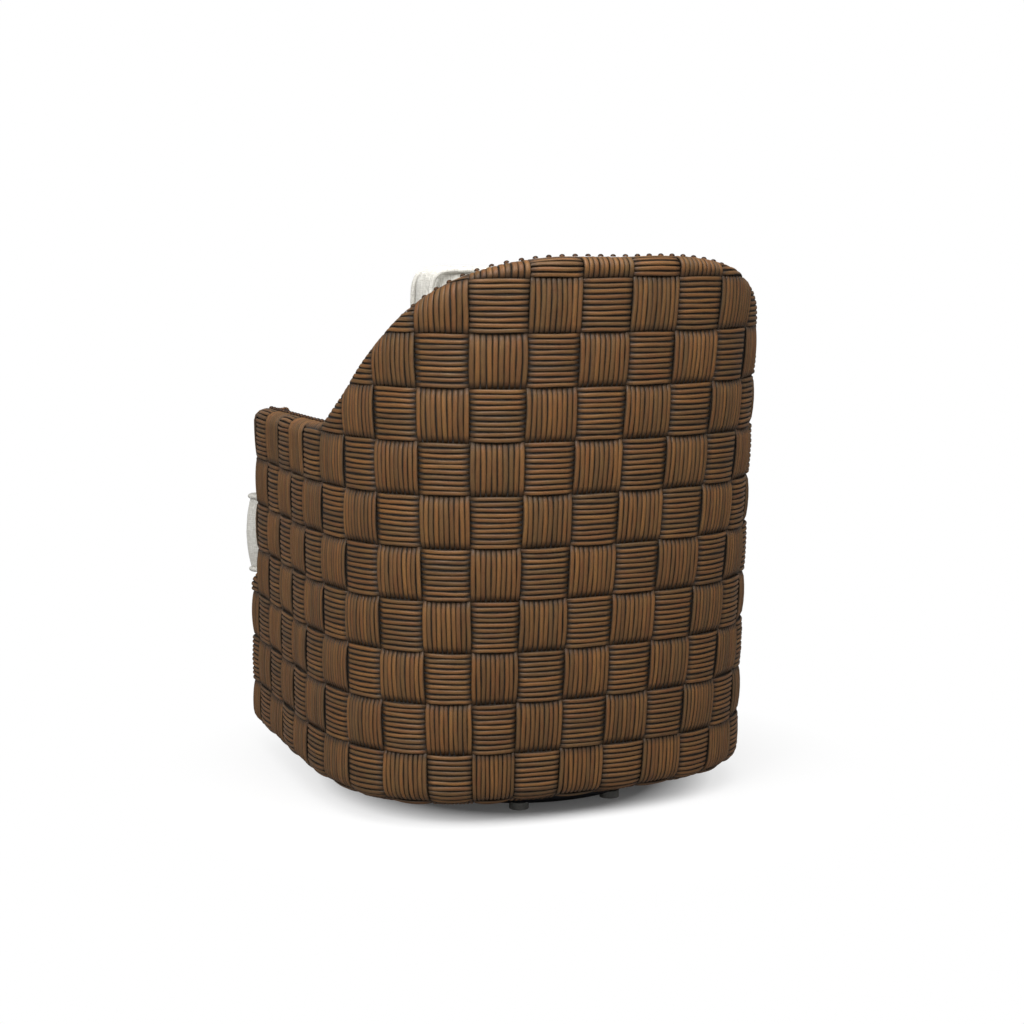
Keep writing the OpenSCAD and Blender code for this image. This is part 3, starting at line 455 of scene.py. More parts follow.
def wall(s, out, up, form):
    """Point of the wall: the plan point, plus (out + lean) along the outward direction, at the height
    up. The lean is a share of the height, and fades as the wall turns away from the back. A form that
    runs on round the front is mirrored past its middle, its fold."""
    far = s > form["fold"]
    p, t = plan(np.abs(np.where(far, 2 * form["fold"] - s, s)), form["runs"])
    lean = LEAN * (up - LEAN_Z) * np.clip(np.cos(t), 0, 1) ** 2
    xy = p + (out + lean)[..., None] * heading(t)
    return np.stack([np.where(far, -1, np.sign(s)) * xy[..., 0], xy[..., 1], up], -1)


print("side starts at", SIDE_AT.round(4), "turn", round(math.degrees(SIDE_TURN), 2))

# %% [markdown]
# The top edge is level across the back, sweeps down in an S over each shoulder and runs almost
# level along the arms. In front the arms end in a rounded corner and a narrow face, and below the
# seat the woven front rail stands further forward, so the front has a plan of its own.

# %% Edges of the woven wall
ARM_JOIN, CREST_Z, ARM_Z = 0.552, 0.890, 0.624
SKIRT_Z, BOTTOM_ROLL, TOP_ROLL, BAND, LIP = 0.038, 0.028, 0.020, 0.030, 0.045
ARM_FRONT_Y, RAIL_FRONT_Y, RAIL_TOP, RAIL_CORNER = 0.349, 0.389, 0.316, 0.022
ARM_BEND = side_distance(TOP_ROLL - ARM_FRONT_Y)
QUARTER = math.pi - SIDE_TURN
ARM_FRONT_W, INNER_EDGE, ARM_RETURN, TIGHT_ROLL = 0.0616, 0.006, 0.019, 0.005
ARM_FACE = ARM_FRONT_W - TOP_ROLL - INNER_EDGE
INNER = ARM_BEND + TOP_ROLL * QUARTER + ARM_FACE
ARM_END = INNER + INNER_EDGE * math.pi / 2 + ARM_RETURN
ARM_RUNS = BACK_RUNS + [(ARM_BEND - SIDE_S, None), (TOP_ROLL * QUARTER, TOP_ROLL), (ARM_FACE, None),
                        (INNER_EDGE * math.pi / 2, INNER_EDGE), (0.1, None)]
RAIL_BEND = side_distance(RAIL_CORNER - RAIL_FRONT_Y)
RAIL_RUNS = BACK_RUNS + [(RAIL_BEND - SIDE_S, None), (RAIL_CORNER * QUARTER, RAIL_CORNER), (2.0, None)]
corner_point = plan(np.array([RAIL_BEND + RAIL_CORNER * QUARTER]), RAIL_RUNS)[0][0]
RAIL_MIDDLE = RAIL_BEND + RAIL_CORNER * QUARTER + corner_point[0]


def top_height(a):
    """Height of the top edge at the distance a. With u from 0 in the middle to 1 at the arm, it is
    crest - drop ((1 - cos(pi u^1.78)) / 2)^0.72 + 0.44 times the run times (u^2 - u^3), and then a
    slight fall along the arm."""
    u = np.clip(a / ARM_JOIN, 0, 1)
    swept = CREST_Z - (CREST_Z - ARM_Z) * ((1 - np.cos(math.pi * u**1.78)) / 2) ** 0.72
    swept = swept + 0.44 * ARM_JOIN * (u**2 - u**3)
    return np.where(a > ARM_JOIN, ARM_Z - 0.014 * (np.minimum(a, ARM_BEND) - ARM_JOIN), swept)


def arm_roll(a):
    """Radius of the rolled top edge, which is tight at the arm front's inner corner."""
    return np.where(a > INNER, TIGHT_ROLL, TOP_ROLL)


def arm_spare(a):
    """How far the weave runs on past the roll: across the band, or not where the front is narrow."""
    return np.where(a < ARM_BEND - 0.005, BAND - TOP_ROLL, np.where(a < INNER, 0.004, 0.0))


def level(height):
    """A height, or a radius, that is the same all along the wall."""
    return lambda a: np.full(np.shape(a), height)


def rail_spare(a):
    """How far the weave runs back over the rail's top."""
    return np.where(a > RAIL_BEND, RAIL_FRONT_Y - ARM_FRONT_Y - TOP_ROLL - 0.001, 0.0)


NO_FOLD = 9.0
ARM = {"runs": ARM_RUNS, "top": top_height, "roll": arm_roll, "spare": arm_spare, "fold": NO_FOLD}
RAIL = {"runs": RAIL_RUNS, "top": level(RAIL_TOP), "roll": level(TOP_ROLL), "spare": rail_spare,
        "fold": RAIL_MIDDLE}


def along_half(s, form):
    """Distance from the middle of the back along either half of the wall."""
    return np.where(s > form["fold"], 2 * form["fold"] - s, np.abs(s))


def on_shell(s, t, d, form):
    """Point at (s, t), standing d proud. Up to the roll t is the height; over it the point turns
    round the roll by (t - limit) / radius and then runs level inwards. The bottom does the same."""
    a = along_half(s, form)
    height, radius = form["top"](a), form["roll"](a)
    limit, foot = height - radius, SKIRT_Z + BOTTOM_ROLL
    over = np.clip((t - limit) / radius, 0, math.pi / 2)
    past = np.maximum(t - limit - radius * math.pi / 2, 0)
    under = np.clip((foot - t) / BOTTOM_ROLL, 0, math.pi / 2)
    beneath = np.maximum(foot - t - BOTTOM_ROLL * math.pi / 2, 0)
    out, up = d + 0 * t, t + 0 * d
    high, low = t > limit, t < foot
    out = np.where(high, -radius + (radius + d) * np.cos(over) - past, out)
    up = np.where(high, limit + (radius + d) * np.sin(over), up)
    out = np.where(low, -BOTTOM_ROLL + (BOTTOM_ROLL + d) * np.cos(under) - beneath, out)
    up = np.where(low, foot - (BOTTOM_ROLL + d) * np.sin(under), up)
    return wall(s, out, up, form)


def reach(s, form):
    """The highest t at which the weave still lies on the wall's band."""
    a = along_half(s, form)
    radius = form["roll"](a)
    return form["top"](a) - radius + radius * math.pi / 2 + form["spare"](a)


LOWEST = SKIRT_Z + BOTTOM_ROLL - BOTTOM_ROLL * math.pi / 2 - (LIP - BOTTOM_ROLL)
print("arm bends at", round(ARM_BEND, 4), "and ends at", round(ARM_END, 4))
print("rail middle at", round(RAIL_MIDDLE, 4))

# %% [markdown]
# ## Meshes from arrays
# A piece is a grid of points. These helpers turn grids into quads, put them in a mesh, turn its
# faces outwards, give its points their facts, attach the piece to the chair and hide the CAD parts
# that it stands for.

# %% Mesh helpers
def grid_faces(rows, columns, wrap=False):
    """Quads of a grid of points; with wrap, the last column joins the first."""
    i, j = np.meshgrid(np.arange(rows - 1), np.arange(columns if wrap else columns - 1), indexing="ij")
    k, here = (j + 1) % columns, i * columns
    return np.stack([here + j, here + k, here + columns + k, here + columns + j], -1).reshape(-1, 4)


def piece(name, points, faces, material):
    """A new smooth object at the origin, from an array of points and a list or array of faces."""
    mesh = bpy.data.meshes.new(name)
    faces = faces if isinstance(faces, list) else faces.tolist()
    mesh.from_pydata(points.reshape(-1, 3).tolist(), [], faces)
    mesh.polygons.foreach_set("use_smooth", np.full(len(mesh.polygons), True))
    mesh.materials.append(material)
    return placed(name, mesh)


def outward(made):
    """Merges doubles and turns the faces of a closed piece outwards."""
    b = bmesh.new()
    b.from_mesh(made.data)
    bmesh.ops.remove_doubles(b, verts=b.verts, dist=1e-6)
    bmesh.ops.recalc_face_normals(b, faces=b.faces)
    b.to_mesh(made.data)
    b.free()


def attribute(made, name, values):
    """A number for each vertex, which the finish reads by its name."""
    layer = made.data.attributes.new(name, "FLOAT", "POINT")
    layer.data.foreach_set("value", values.astype(np.float32).ravel())


def dressed(made, slot, *replaced):
    """Attaches a piece to the chair's body and hides the CAD nodes it stands for; slot is not used."""
    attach(made, "chair")
    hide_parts(*replaced)


# %% [markdown]
# ## The weave
# Bundles of about ten strips pass over and under each other in a check: in every other cell the
# strips stand upright, and in the rest they lie level. Each strip is a rounded bar that arches
# over its cell and dives under the bundles beside it. A strip is a small closed tube of eight
# sides, cheap enough for nearly three thousand of them, so the gaps between strips and the steps
# between bundles are real and catch their own shadow.

# %% Strips
CELL_W, CELL_H, SHIFT, FIRST_ROW = 0.078, 0.082, 0.0128, 0.040
HALF_W, HALF_H, RELIEF, SUNK = 0.0038, 0.0022, 0.0052, -0.0026
STRIP_PITCH, SHORTEST, OVERRUN = 0.0079, 0.006, 0.045
WANDER, SWAY, UNEVEN = 0.00025, 0.0004, 0.00022
SECTION = np.array([(-1, -0.35), (-0.86, 0.5), (-0.45, 0.92), (0.05, 1),
                    (0.5, 0.9), (0.88, 0.45), (1, -0.35), (0, -1)])


def arch(u):
    """Rise of a bundle along its length: sin(pi u) to the power 0.6, and a dive past its ends."""
    inside = np.clip(u, 0, 1)
    return np.sin(math.pi * inside) ** 0.6 - 14 * np.abs(u - inside)


def crown(share):
    """A bundle's rise across it: full in the middle, and 0.78 of that at its two sides."""
    return 0.78 + 0.22 * np.sin(math.pi * share)


def flatness(s, t, form):
    """Fades the relief out towards the nail line, so that the heads sit on a level band."""
    return rising(reach(s, form) - t, 0.010, 0.032)


def shown(s, t, form):
    """Share of the depth that shows: 1, and down to 0.35 where a sloping top edge is rolled over, as
    the strips are pulled tight there."""
    a = along_half(s, form)
    slope = np.abs(form["top"](a + 0.002) - form["top"](a - 0.002)) / 0.004
    over = rising(t - form["top"](a) + form["roll"](a), -0.014, 0.006)
    return 1 - 0.65 * over * rising(slope, 0.25, 0.65)


def strips(cells, upright, form, limits, steps, seed):
    """Strips of all cells at once. cells is an array of (low s, high s, low t, high t); limits are the
    lowest and highest s and the lowest t of the piece. Gives points (strip, step, side, 3) and facts."""
    rng = np.random.default_rng(seed)
    side = 0 if upright else 2
    count = np.maximum(np.round((cells[:, side + 1] - cells[:, side]) / STRIP_PITCH).astype(int), 1)
    cell = np.repeat(np.arange(len(cells)), count)
    number = np.arange(len(cell)) - np.repeat(np.cumsum(count) - count, count)
    share = (number + 0.5) / count[cell]
    c = cells[cell]
    middle = c[:, side] + share * (c[:, side + 1] - c[:, side]) + rng.normal(0, WANDER, len(cell))
    length_side = 2 - side
    low, high = c[:, length_side], c[:, length_side + 1]
    fine = np.linspace(-OVERRUN, 1 + OVERRUN, 60)
    run = low[:, None] + fine * (high - low)[:, None]
    s, t = (middle[:, None] + 0 * run, run) if upright else (run, middle[:, None] + 0 * run)
    good = (s >= limits[0]) & (s <= limits[1]) & (t >= limits[2]) & (t <= reach(s, form))
    first = np.where(good, run, np.inf).min(1)
    last = np.where(good, run, -np.inf).max(1)
    keep = last - first > SHORTEST
    first, last, middle, low, high, share = (v[keep] for v in (first, last, middle, low, high, share))
    n = len(first)
    along = first[:, None] + np.linspace(0, 1, steps + 1) * (last - first)[:, None]
    u = (along - low[:, None]) / (high - low)[:, None]
    tone = rng.random(n)
    wide = HALF_W * (1.03 if upright else 0.9) * rng.uniform(0.94, 1.04, n)
    sway = SWAY * np.sin(2 * math.pi * (u * rng.uniform(0.5, 1.2, n)[:, None] + rng.random(n)[:, None]))
    across = middle[:, None, None] + sway[..., None] + wide[:, None, None] * SECTION[:, 0]
    lengthwise = along[..., None] + 0 * across
    s, t = (across, lengthwise) if upright else (lengthwise, across)
    rise = RELIEF * arch(u)[..., None] * crown(share)[:, None, None]
    showing = shown(s, t, form)
    rise = np.where(rise > 0, rise * flatness(s, t, form) * showing, rise)
    rise = rise + rng.normal(0, UNEVEN, n)[:, None, None] * showing
    d = (SUNK + HALF_H * SECTION[:, 1]) * showing + rise
    ending = np.minimum(u, 1 - u) * (high - low)[:, None]
    facts = {"tone": np.broadcast_to(tone[:, None, None], d.shape),
             "along": along[..., None] + rng.random(n)[:, None, None] * 5 + 0 * d,
             "across": np.broadcast_to(SECTION[:, 0], d.shape), "ending": ending[..., None] + 0 * d}
    return on_shell(s, t, d, form), facts


def strip_piece(name, families):
    """One mesh of all the strips, closed at both ends, with their facts as its attributes."""
    faces, start = [], 0
    for points, _ in families:
        count, steps, sides = points.shape[:3]
        first = (start + np.arange(count) * steps * sides)[:, None, None]
        ring = np.arange(sides)
        caps = np.stack([ring[::-1], (steps - 1) * sides + ring])
        faces += (grid_faces(steps, sides, wrap=True)[None] + first).reshape(-1, 4).tolist()
        faces += (caps[None] + first).reshape(-1, sides).tolist()
        start += count * steps * sides
    made = piece(name, np.concatenate([p.reshape(-1, 3) for p, _ in families]), faces, rattan_finish)
    for key in families[0][1]:
        attribute(made, key, np.concatenate([facts[key].reshape(-1) for _, facts in families]))
    triangles = sum(len(p.vertices) - 2 for p in made.data.polygons)
    print(name, sum(len(p) for p, _ in families), "strips,", triangles, "triangles")
    return made


def check(columns, rows, parity):
    """The cells whose strips stand upright (parity 0) or lie level (1), from column and row edges;
    columns is a list of (number, low s, high s) and rows of (number, low t, high t)."""
    return np.array([(a, b, c, d) for i, a, b in columns for r, c, d in rows if (i + r) % 2 == parity])


def column_edges(low, high):
    """Columns of the weave that reach into the run from low to high, as (number, low s, high s)."""
    numbers = range(math.floor((low + SHIFT) / CELL_W), math.ceil((high + SHIFT) / CELL_W) + 1)
    edges = [(c, c * CELL_W - SHIFT, (c + 1) * CELL_W - SHIFT) for c in numbers]
    return [e for e in edges if e[2] > low and e[1] < high]


ROWS = [(r, FIRST_ROW + r * CELL_H, FIRST_ROW + (r + 1) * CELL_H) for r in range(-1, 12)]

# %% [markdown]
# Strips that stay on the flat wall need few steps along them, and those that roll over an edge
# need more, so each family is made in two batches.

# %% Woven back, arms and front
def batches(columns, rows, parity, form, limits, seed):
    """Both batches of one family of strips: cells on the flat wall, and cells that meet a roll."""
    cells = check(columns, rows, parity)
    if not len(cells):
        return []
    far = along_half(np.where(np.abs(cells[:, 0]) > np.abs(cells[:, 1]), cells[:, 0], cells[:, 1]), form)
    rolled = cells[:, 3] > form["top"](far) - form["roll"](far) - 0.012
    rolled |= (cells[:, 2] < SKIRT_Z + BOTTOM_ROLL) | (far > ARM_BEND - 0.01)
    made = [strips(cells[mask], parity == 0, form, limits, steps, seed + steps)
            for mask, steps in ((rolled, 12), (~rolled, 6)) if mask.any()]
    return [m for m in made if len(m[0])]


def relief(s, t, columns, rows, form):
    """Height of the bundles at (s, t): the arch of the cell that the place is in, falling away at its
    sides, where the neighbour's strips come up."""
    def cell(v, edges):
        low = np.array([e[1] for e in edges])
        high = np.array([e[2] for e in edges])
        i = np.clip(np.searchsorted(low, v, "right") - 1, 0, len(edges) - 1)
        return np.array([e[0] for e in edges])[i], rising(v, low[i], high[i]), (high - low)[i]
    c, a, wide = cell(s, columns)
    r, b, tall = cell(t, rows)
    upright = (c + r) % 2 == 0
    along, across, size = np.where(upright, b, a), np.where(upright, a, b), np.where(upright, wide, tall)
    side = np.clip(np.minimum(across, 1 - across) * size / 0.006, 0, 1)
    fade = flatness(s, t, form) * shown(s, t, form)
    return RELIEF * arch(along) * crown(across) * side * fade


SHARES = np.array([0, 0.04, 0.12, 0.3, 0.5, 0.7, 0.88, 0.96])


def places(edges, low, high, extra=()):
    """Sorted places from low to high: eight in each cell, both ends, and any extra ones."""
    found = np.concatenate([a + SHARES * (b - a) for _, a, b in edges] + [[low, high], extra])
    found = np.unique(found[(found >= low) & (found <= high)].round(5))
    return found[np.concatenate([[True], np.diff(found) > 2e-4])]


UNDER_STRIPS, CANVAS_BACK, SHORT_OF_EDGE = 0.0031, 0.0088, 0.0015


def backing(name, low, high, columns, rows, form, low_t, extra=()):
    """The shell under the strips, whose near-black cloth is painted shade in the gaps between them,
    which swells with the bundles: a closed ring of points at each station, up the outside, over the
    roll and back down inside. Points past the edge are drawn back to it and kept a hair apart."""
    s = places(columns, low, high, extra)[:, None]
    t = places(rows, low_t, 0.95, np.linspace(low_t, 0.07, 8))[None, :]
    hair = 2e-5 * (np.arange(t.shape[1])[None, :] - t.shape[1])
    t = np.minimum(t, reach(s, form) - SHORT_OF_EDGE + hair)
    s = s + 0 * t
    raised = relief(s, t, columns, rows, form) - UNDER_STRIPS * shown(s, t, form)
    outer = on_shell(s, t, raised, form)
    inner = on_shell(s, t, np.full(t.shape, -CANVAS_BACK), form)
    points = np.concatenate([outer, inner[:, ::-1]], 1)
    count, n = points.shape[:2]
    faces = grid_faces(count, n, wrap=True).tolist()
    half = n // 2
    for base, turn in ((0, 1), ((count - 1) * n, -1)):
        faces += [[base + k for k in (i, i + 1, n - 2 - i, n - 1 - i)][::turn] for i in range(half - 1)]
    made = piece(name, points, faces, gap_shade_backing)
    outward(made)
    return made


DIVE = 0.0036
NEAR = {1: 7 * CELL_W - SHIFT, -1: 7 * CELL_W + SHIFT}
back_columns = column_edges(1e-6 - NEAR[-1], NEAR[1] - 1e-6)
whole = (-NEAR[-1] - DIVE, NEAR[1] + DIVE, LOWEST)
for name, parity in (("back_uprights", 0), ("back_levels", 1)):
    family = batches(back_columns, ROWS, parity, ARM, whole, 10 + 10 * parity)
    dressed(strip_piece(name, family), "woven", "woven_back")
canvas_columns = column_edges(-ARM_JOIN, ARM_JOIN)
canvas = backing("back_canvas", -ARM_JOIN, ARM_JOIN, canvas_columns, ROWS, ARM, LOWEST)
dressed(canvas, "woven", "woven_back")

# %% [markdown]
# On the arms the top row runs on over the rolled edge to the nails, so the check has no line
# along the arm's top. The last column goes round the arm's front corner and across its narrow
# face, and stops where the inner pad begins. In front it runs down behind the rail's top, and below
# that only the strips of the side go on, as far as the bend.

# %% Woven arms
OVER_ARM, SWEEP_END, RAIL_HIDES, CANVAS_FOOT = 0.650, 0.59, 0.030, 0.2
ARM_ROWS = [r for r in ROWS if r[0] < 6] + [(6, ROWS[7][1], OVER_ARM)]


def nearer(column):
    """Distance from the back's middle to the nearer edge of a column."""
    return min(abs(column[1]), abs(column[2]))


def farther(column):
    """Distance from the back's middle to the farther edge of a column."""
    return max(abs(column[1]), abs(column[2]))


for sign, hand in ((1, "left"), (-1, "right")):
    low, high = sorted((sign * (NEAR[sign] - DIVE), sign * ARM_END))
    ends = sorted((sign * (NEAR[sign] + 1e-6), sign * ARM_END))
    edges = [c for c in column_edges(*ends) if nearer(c) < ARM_BEND]
    outermost = max(edges, key=farther)
    number, near = outermost[0] + sign, outermost[2 if sign > 0 else 1]
    edges.append((number, near, high) if sign > 0 else (number, low, near))
    edges.sort()
    swept = [c for c in edges if nearer(c) < SWEEP_END]
    flat = [c for c in edges if c not in swept and farther(c) < ARM_BEND + 0.004]
    ahead = [c for c in edges if c not in swept and c not in flat]
    closing = [(-7, -NEAR[-1], CELL_W - NEAR[-1])] if sign < 0 else []
    below = [(c, max(a, -ARM_BEND), min(b, ARM_BEND)) for c, a, b in ahead
             if nearer((c, a, b)) < ARM_BEND - 0.01]
    made = []
    for parity in (0, 1):
        for columns, rows, foot, seed in ((swept, ROWS, LOWEST, 30), (flat, ARM_ROWS, LOWEST, 40),
                                          (ahead, ARM_ROWS, RAIL_TOP - RAIL_HIDES, 50),
                                          (below, ROWS[:4], LOWEST, 60)):
            made += batches(columns, rows, parity, ARM, (low, high, foot), seed + 5 * parity + sign)
    replaced = [f"woven_arm_{hand}", f"arm_front_{hand}"]
    dressed(strip_piece(f"arm_weave_{hand}", made), "woven", *replaced)
    turn, face = np.linspace(ARM_BEND, INNER - ARM_FACE, 8), np.linspace(INNER, ARM_END, 9)
    corner = sign * np.concatenate([turn, face])
    for label, ends, foot in (("arm_canvas", (ARM_JOIN, ARM_BEND), LOWEST),
                              ("arm_end_canvas", (ARM_BEND, ARM_END), CANVAS_FOOT)):
        first, last = sorted(sign * v for v in ends)
        columns = sorted(edges + closing)
        canvas = backing(f"{label}_{hand}", first, last, columns, ARM_ROWS, ARM, foot, corner)
        dressed(canvas, "woven", *replaced)

# %% [markdown]
# Across the front rail the weave of both sides has to meet. Ten columns, a little wider than
# the rest, fill the way from the left side's last edge round to the right side's, so that the
# check runs on without a seam.

# %% Woven front rail
left_edge, right_edge, FRONT_COLUMNS = 12 * CELL_W - SHIFT, ARM_BEND, 10
front_edges = np.linspace(left_edge, 2 * RAIL_MIDDLE - right_edge, FRONT_COLUMNS + 1)
front_columns = [(12 + i, front_edges[i], front_edges[i + 1]) for i in range(FRONT_COLUMNS)]
front_rows = [r for r in ROWS if r[1] < RAIL_TOP + 0.03]
front_limits = (left_edge - 0.003, 2 * RAIL_MIDDLE - right_edge + 0.003, LOWEST)
front_strips = []
for parity in (0, 1):
    front_strips += batches(front_columns, front_rows, parity, RAIL, front_limits, 70 + 5 * parity)
dressed(strip_piece("front_weave", front_strips), "woven", "woven_front")
bend = np.linspace(RAIL_BEND, RAIL_BEND + RAIL_CORNER * QUARTER, 9)
bends = np.concatenate([bend, 2 * RAIL_MIDDLE - bend])
first, last = ARM_BEND, 2 * RAIL_MIDDLE - ARM_BEND
canvas = backing("front_canvas", first, last, front_columns, front_rows, RAIL, LOWEST, bends)
dressed(canvas, "woven", "woven_front")

# %% [markdown]
# ## Nail heads
# A row of dark domed nails holds the inner fabric over the woven edge, one every twenty
# millimetres round the back and down both arms. Each head is a turned dome with a thin rim,
# seated square on the band, which tilts where the top edge slopes.

# %% Nail heads
def turned_dome(radius, height, sides=14):
    """Points and faces of a closed dome about +Z: rim, shoulder, crown and a flat underside."""
    profile = np.array([(0.86, -0.12), (1.0, 0.02), (0.98, 0.2), (0.86, 0.52), (0.62, 0.8), (0.32, 0.95)])
    a = full_turn(sides)
    rings = [np.column_stack([around(a, radius * r), np.full(sides, height * z)]) for r, z in profile]
    points = np.concatenate(rings + [[[0, 0, height]]])
    top, last = len(points) - 1, (len(profile) - 1) * sides
    faces = grid_faces(len(profile), sides, wrap=True).tolist()
    faces += [[last + i, last + (i + 1) % sides, top] for i in range(sides)] + [list(range(sides))[::-1]]
    return points, faces


NAIL_PITCH, NAIL_OUT, NAIL_COUNT = 0.020, -0.025, 92
NAIL_R, NAIL_H, NAIL_PROUD = 0.0044, 0.0034, 0.0004


def band_point(s, out):
    """Point of the level band at the distance s, out from the wall's face."""
    return wall(s, out + 0 * s, top_height(np.abs(s)), ARM)


def nail_row():
    """All nail heads in one piece, each on its own frame: along the band, across it and square to it."""
    s = (np.arange(NAIL_COUNT) - (NAIL_COUNT - 1) / 2) * NAIL_PITCH
    step = 0.002
    middle = band_point(s, NAIL_OUT)
    along = band_point(s + step, NAIL_OUT) - band_point(s - step, NAIL_OUT)
    side = band_point(s, NAIL_OUT + step) - band_point(s, NAIL_OUT - step)
    along = unit(along)
    up = unit(np.cross(side, along))
    up *= np.sign(up[:, 2:])
    side = np.cross(up, along)
    dome, one = turned_dome(NAIL_R, NAIL_H)
    points = (middle[:, None] + dome[:, 0, None] * along[:, None] + dome[:, 1, None] * side[:, None]
              + (dome[:, 2, None] + NAIL_PROUD) * up[:, None])
    faces = [[i * len(dome) + k for k in face] for i in range(NAIL_COUNT) for face in one]
    made = piece("nail_row", points, faces, finishes["nail"])
    outward(made)
    return made


nails = nail_row()
dressed(nails, "nail", "nail_heads")
print("nails", NAIL_COUNT, "faces", len(nails.data.polygons))

# %% [markdown]
# ## Rocker springs
# Four coil springs stand between the bracket that swivels and the bracket that rocks. Each is a
# wire wound six times, in the place of its CAD node.

# %% Coil springs
def tube(line, side, up, radius, sides):
    """Rings of points round a line, laid out from two directions square to it."""
    a = full_turn(sides)
    return line[:, None] + radius * (np.cos(a)[:, None] * side[:, None] + np.sin(a)[:, None] * up[:, None])


COIL_R, WIRE_R, TURNS, SEATED = 0.020, 0.003, 6, 0.008


def coil(node):
    """A helix in the space of its CAD node, with the two ends of its wire capped."""
    low, high = (np.array(v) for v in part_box(node))
    middle = (low + high) / 2
    a = np.linspace(0, 2 * math.pi * TURNS, 24 * TURNS + 1)
    out = np.column_stack([around(a), 0 * a])
    rise = np.interp(a, [0, a[-1]], [low[2] + WIRE_R, high[2] - WIRE_R])
    line = COIL_R * out + np.stack([middle[0] + 0 * a, middle[1] + 0 * a, rise], -1)
    up = unit(np.cross(np.gradient(line, axis=0), out))
    points = tube(line, out, up, WIRE_R, 8)
    ring, last = list(range(8)), 8 * (len(a) - 1)
    faces = grid_faces(len(a), 8, wrap=True).tolist() + [ring[::-1], [last + k for k in ring]]
    made = piece(node.replace("coil_", "coiled_"), points, faces, finishes[slot_of[node]])
    outward(made)
    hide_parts(node)
    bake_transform(made)


for corner in ("front_left", "front_right", "back_left", "back_right"):
    coil(f"coil_spring_{corner}")

# %% [markdown]
# ## Cushions and pads
# The seat is a T-shaped boxed cushion, the back a pillow that fills the back's curve, and thin
# pads line the arms and back. Each starts as its CAD solid, remeshed evenly and drawn in a
# little. Then cloth under pressure swells it, held at the seams, so that the fabric pulls
# between them. How far a point may move is capped. The seat's ears and the back cushion's top
# corners are then pulled out of their solid's space, by up to 19 and 13 mm, as the photograph shows.

# %% Soft helpers
def read(items, name, width, kind=np.float32):
    """A property of all the items of a mesh, as rows of so many numbers."""
    found = np.empty(len(items) * width, kind)
    items.foreach_get(name, found)
    return found.reshape(-1, width)


def points_of(made):
    """Vertex places of a piece as an array."""
    return read(made.data.vertices, "co", 3).astype(float)


def normals_of(made):
    """Vertex normals of a piece as an array."""
    return read(made.data.vertex_normals, "vector", 3).astype(float)


def put_points(made, points):
    """Moves the vertices of a piece to new places."""
    made.data.vertices.foreach_set("co", points.astype(np.float32).ravel())
    made.data.update()


def evaluated(made):
    """The piece as its modifiers make it."""
    return made.evaluated_get(bpy.context.evaluated_depsgraph_get())


def applied(made):
    """Puts the mesh that the modifiers make in the place of the base mesh."""
    mesh = bpy.data.meshes.new_from_object(evaluated(made))
    made.modifiers.clear()
    made.data = mesh


def even_skin(name, node, voxel, inset):
    """A copy of a CAD solid as an even skin of quads, drawn in along its normals."""
    source = nodes[node]
    mesh = source.data.copy()
    mesh.transform(source.matrix_world)
    mesh.materials.clear()
    mesh.materials.append(linen_finish)
    made = placed(name, mesh)
    even = made.modifiers.new("even", "REMESH")
    even.mode, even.voxel_size, even.use_smooth_shade = "VOXEL", voxel, True
    applied(made)
    put_points(made, points_of(made) - inset * normals_of(made))
    return made


def nearest(points, line):
    """Distance from each point to the nearest of a line's points."""
    parts = np.array_split(points, 80)
    return np.sqrt(np.concatenate([((part[:, None] - line) ** 2).sum(-1).min(1) for part in parts]))


def swell(made, held, cap, pressure=4.0):
    """Cloth under pressure for twenty frames. held marks the points that stay, and cap is how far
    each of the others may move."""
    start = points_of(made)
    seams = made.vertex_groups.new(name="seams")
    seams.add(np.nonzero(held)[0].tolist(), 1.0, "REPLACE")
    cloth = made.modifiers.new("swell", "CLOTH").settings
    cloth.quality, cloth.mass = 5, 0.25
    cloth.tension_stiffness, cloth.compression_stiffness = 12, 12
    cloth.shear_stiffness, cloth.bending_stiffness = 4, 0.4
    cloth.use_pressure, cloth.uniform_pressure_force = True, pressure
    cloth.vertex_group_mass = "seams"
    cloth.effector_weights.gravity = 0
    for frame_number in range(1, 21):
        bpy.context.scene.frame_set(frame_number)
    move = read(evaluated(made).data.vertices, "co", 3) - start
    length = np.linalg.norm(move, axis=1)
    made.modifiers.clear()
    made.vertex_groups.clear()
    bpy.context.scene.frame_set(1)
    share = np.minimum(1, cap / np.maximum(length, 1e-9))
    put_points(made, start + move * share[:, None])
    print(made.name, "moved up to", round(float((length * share).max()) * 1000, 1), "mm")


def smoothed(made):
    """One subdivision, applied."""
    made.modifiers.new("smooth", "SUBSURF").levels = 1
    applied(made)


def lay_cloth(made):
    """Lays out the cloth map in metres, along the two axes that each face lies nearest to."""
    mesh = made.data
    counts = read(mesh.polygons, "loop_total", 1, np.int32).ravel()
    corners = read(mesh.loops, "vertex_index", 1, np.int32).ravel()
    p = points_of(made)[corners]
    axis = np.repeat(np.abs(read(mesh.polygons, "normal", 3)).argmax(1), counts)[:, None]
    flat = np.where(axis == 0, p[:, [1, 2]], np.where(axis == 1, p[:, [0, 2]], p[:, [0, 1]]))
    layer = mesh.uv_layers.get("cloth") or mesh.uv_layers.new(name="cloth")
    layer.uv.foreach_set("vector", flat.astype(np.float32).ravel())


def even_path(path, step):
    """A closed line of points set out again at even steps."""
    closed = np.concatenate([path, path[:1]])
    run = np.concatenate([[0], np.cumsum(np.linalg.norm(np.diff(closed, axis=0), axis=1))])
    places = np.linspace(0, run[-1], max(8, int(run[-1] / step)), endpoint=False)
    return np.stack([np.interp(places, run, closed[:, i]) for i in range(3)], -1)


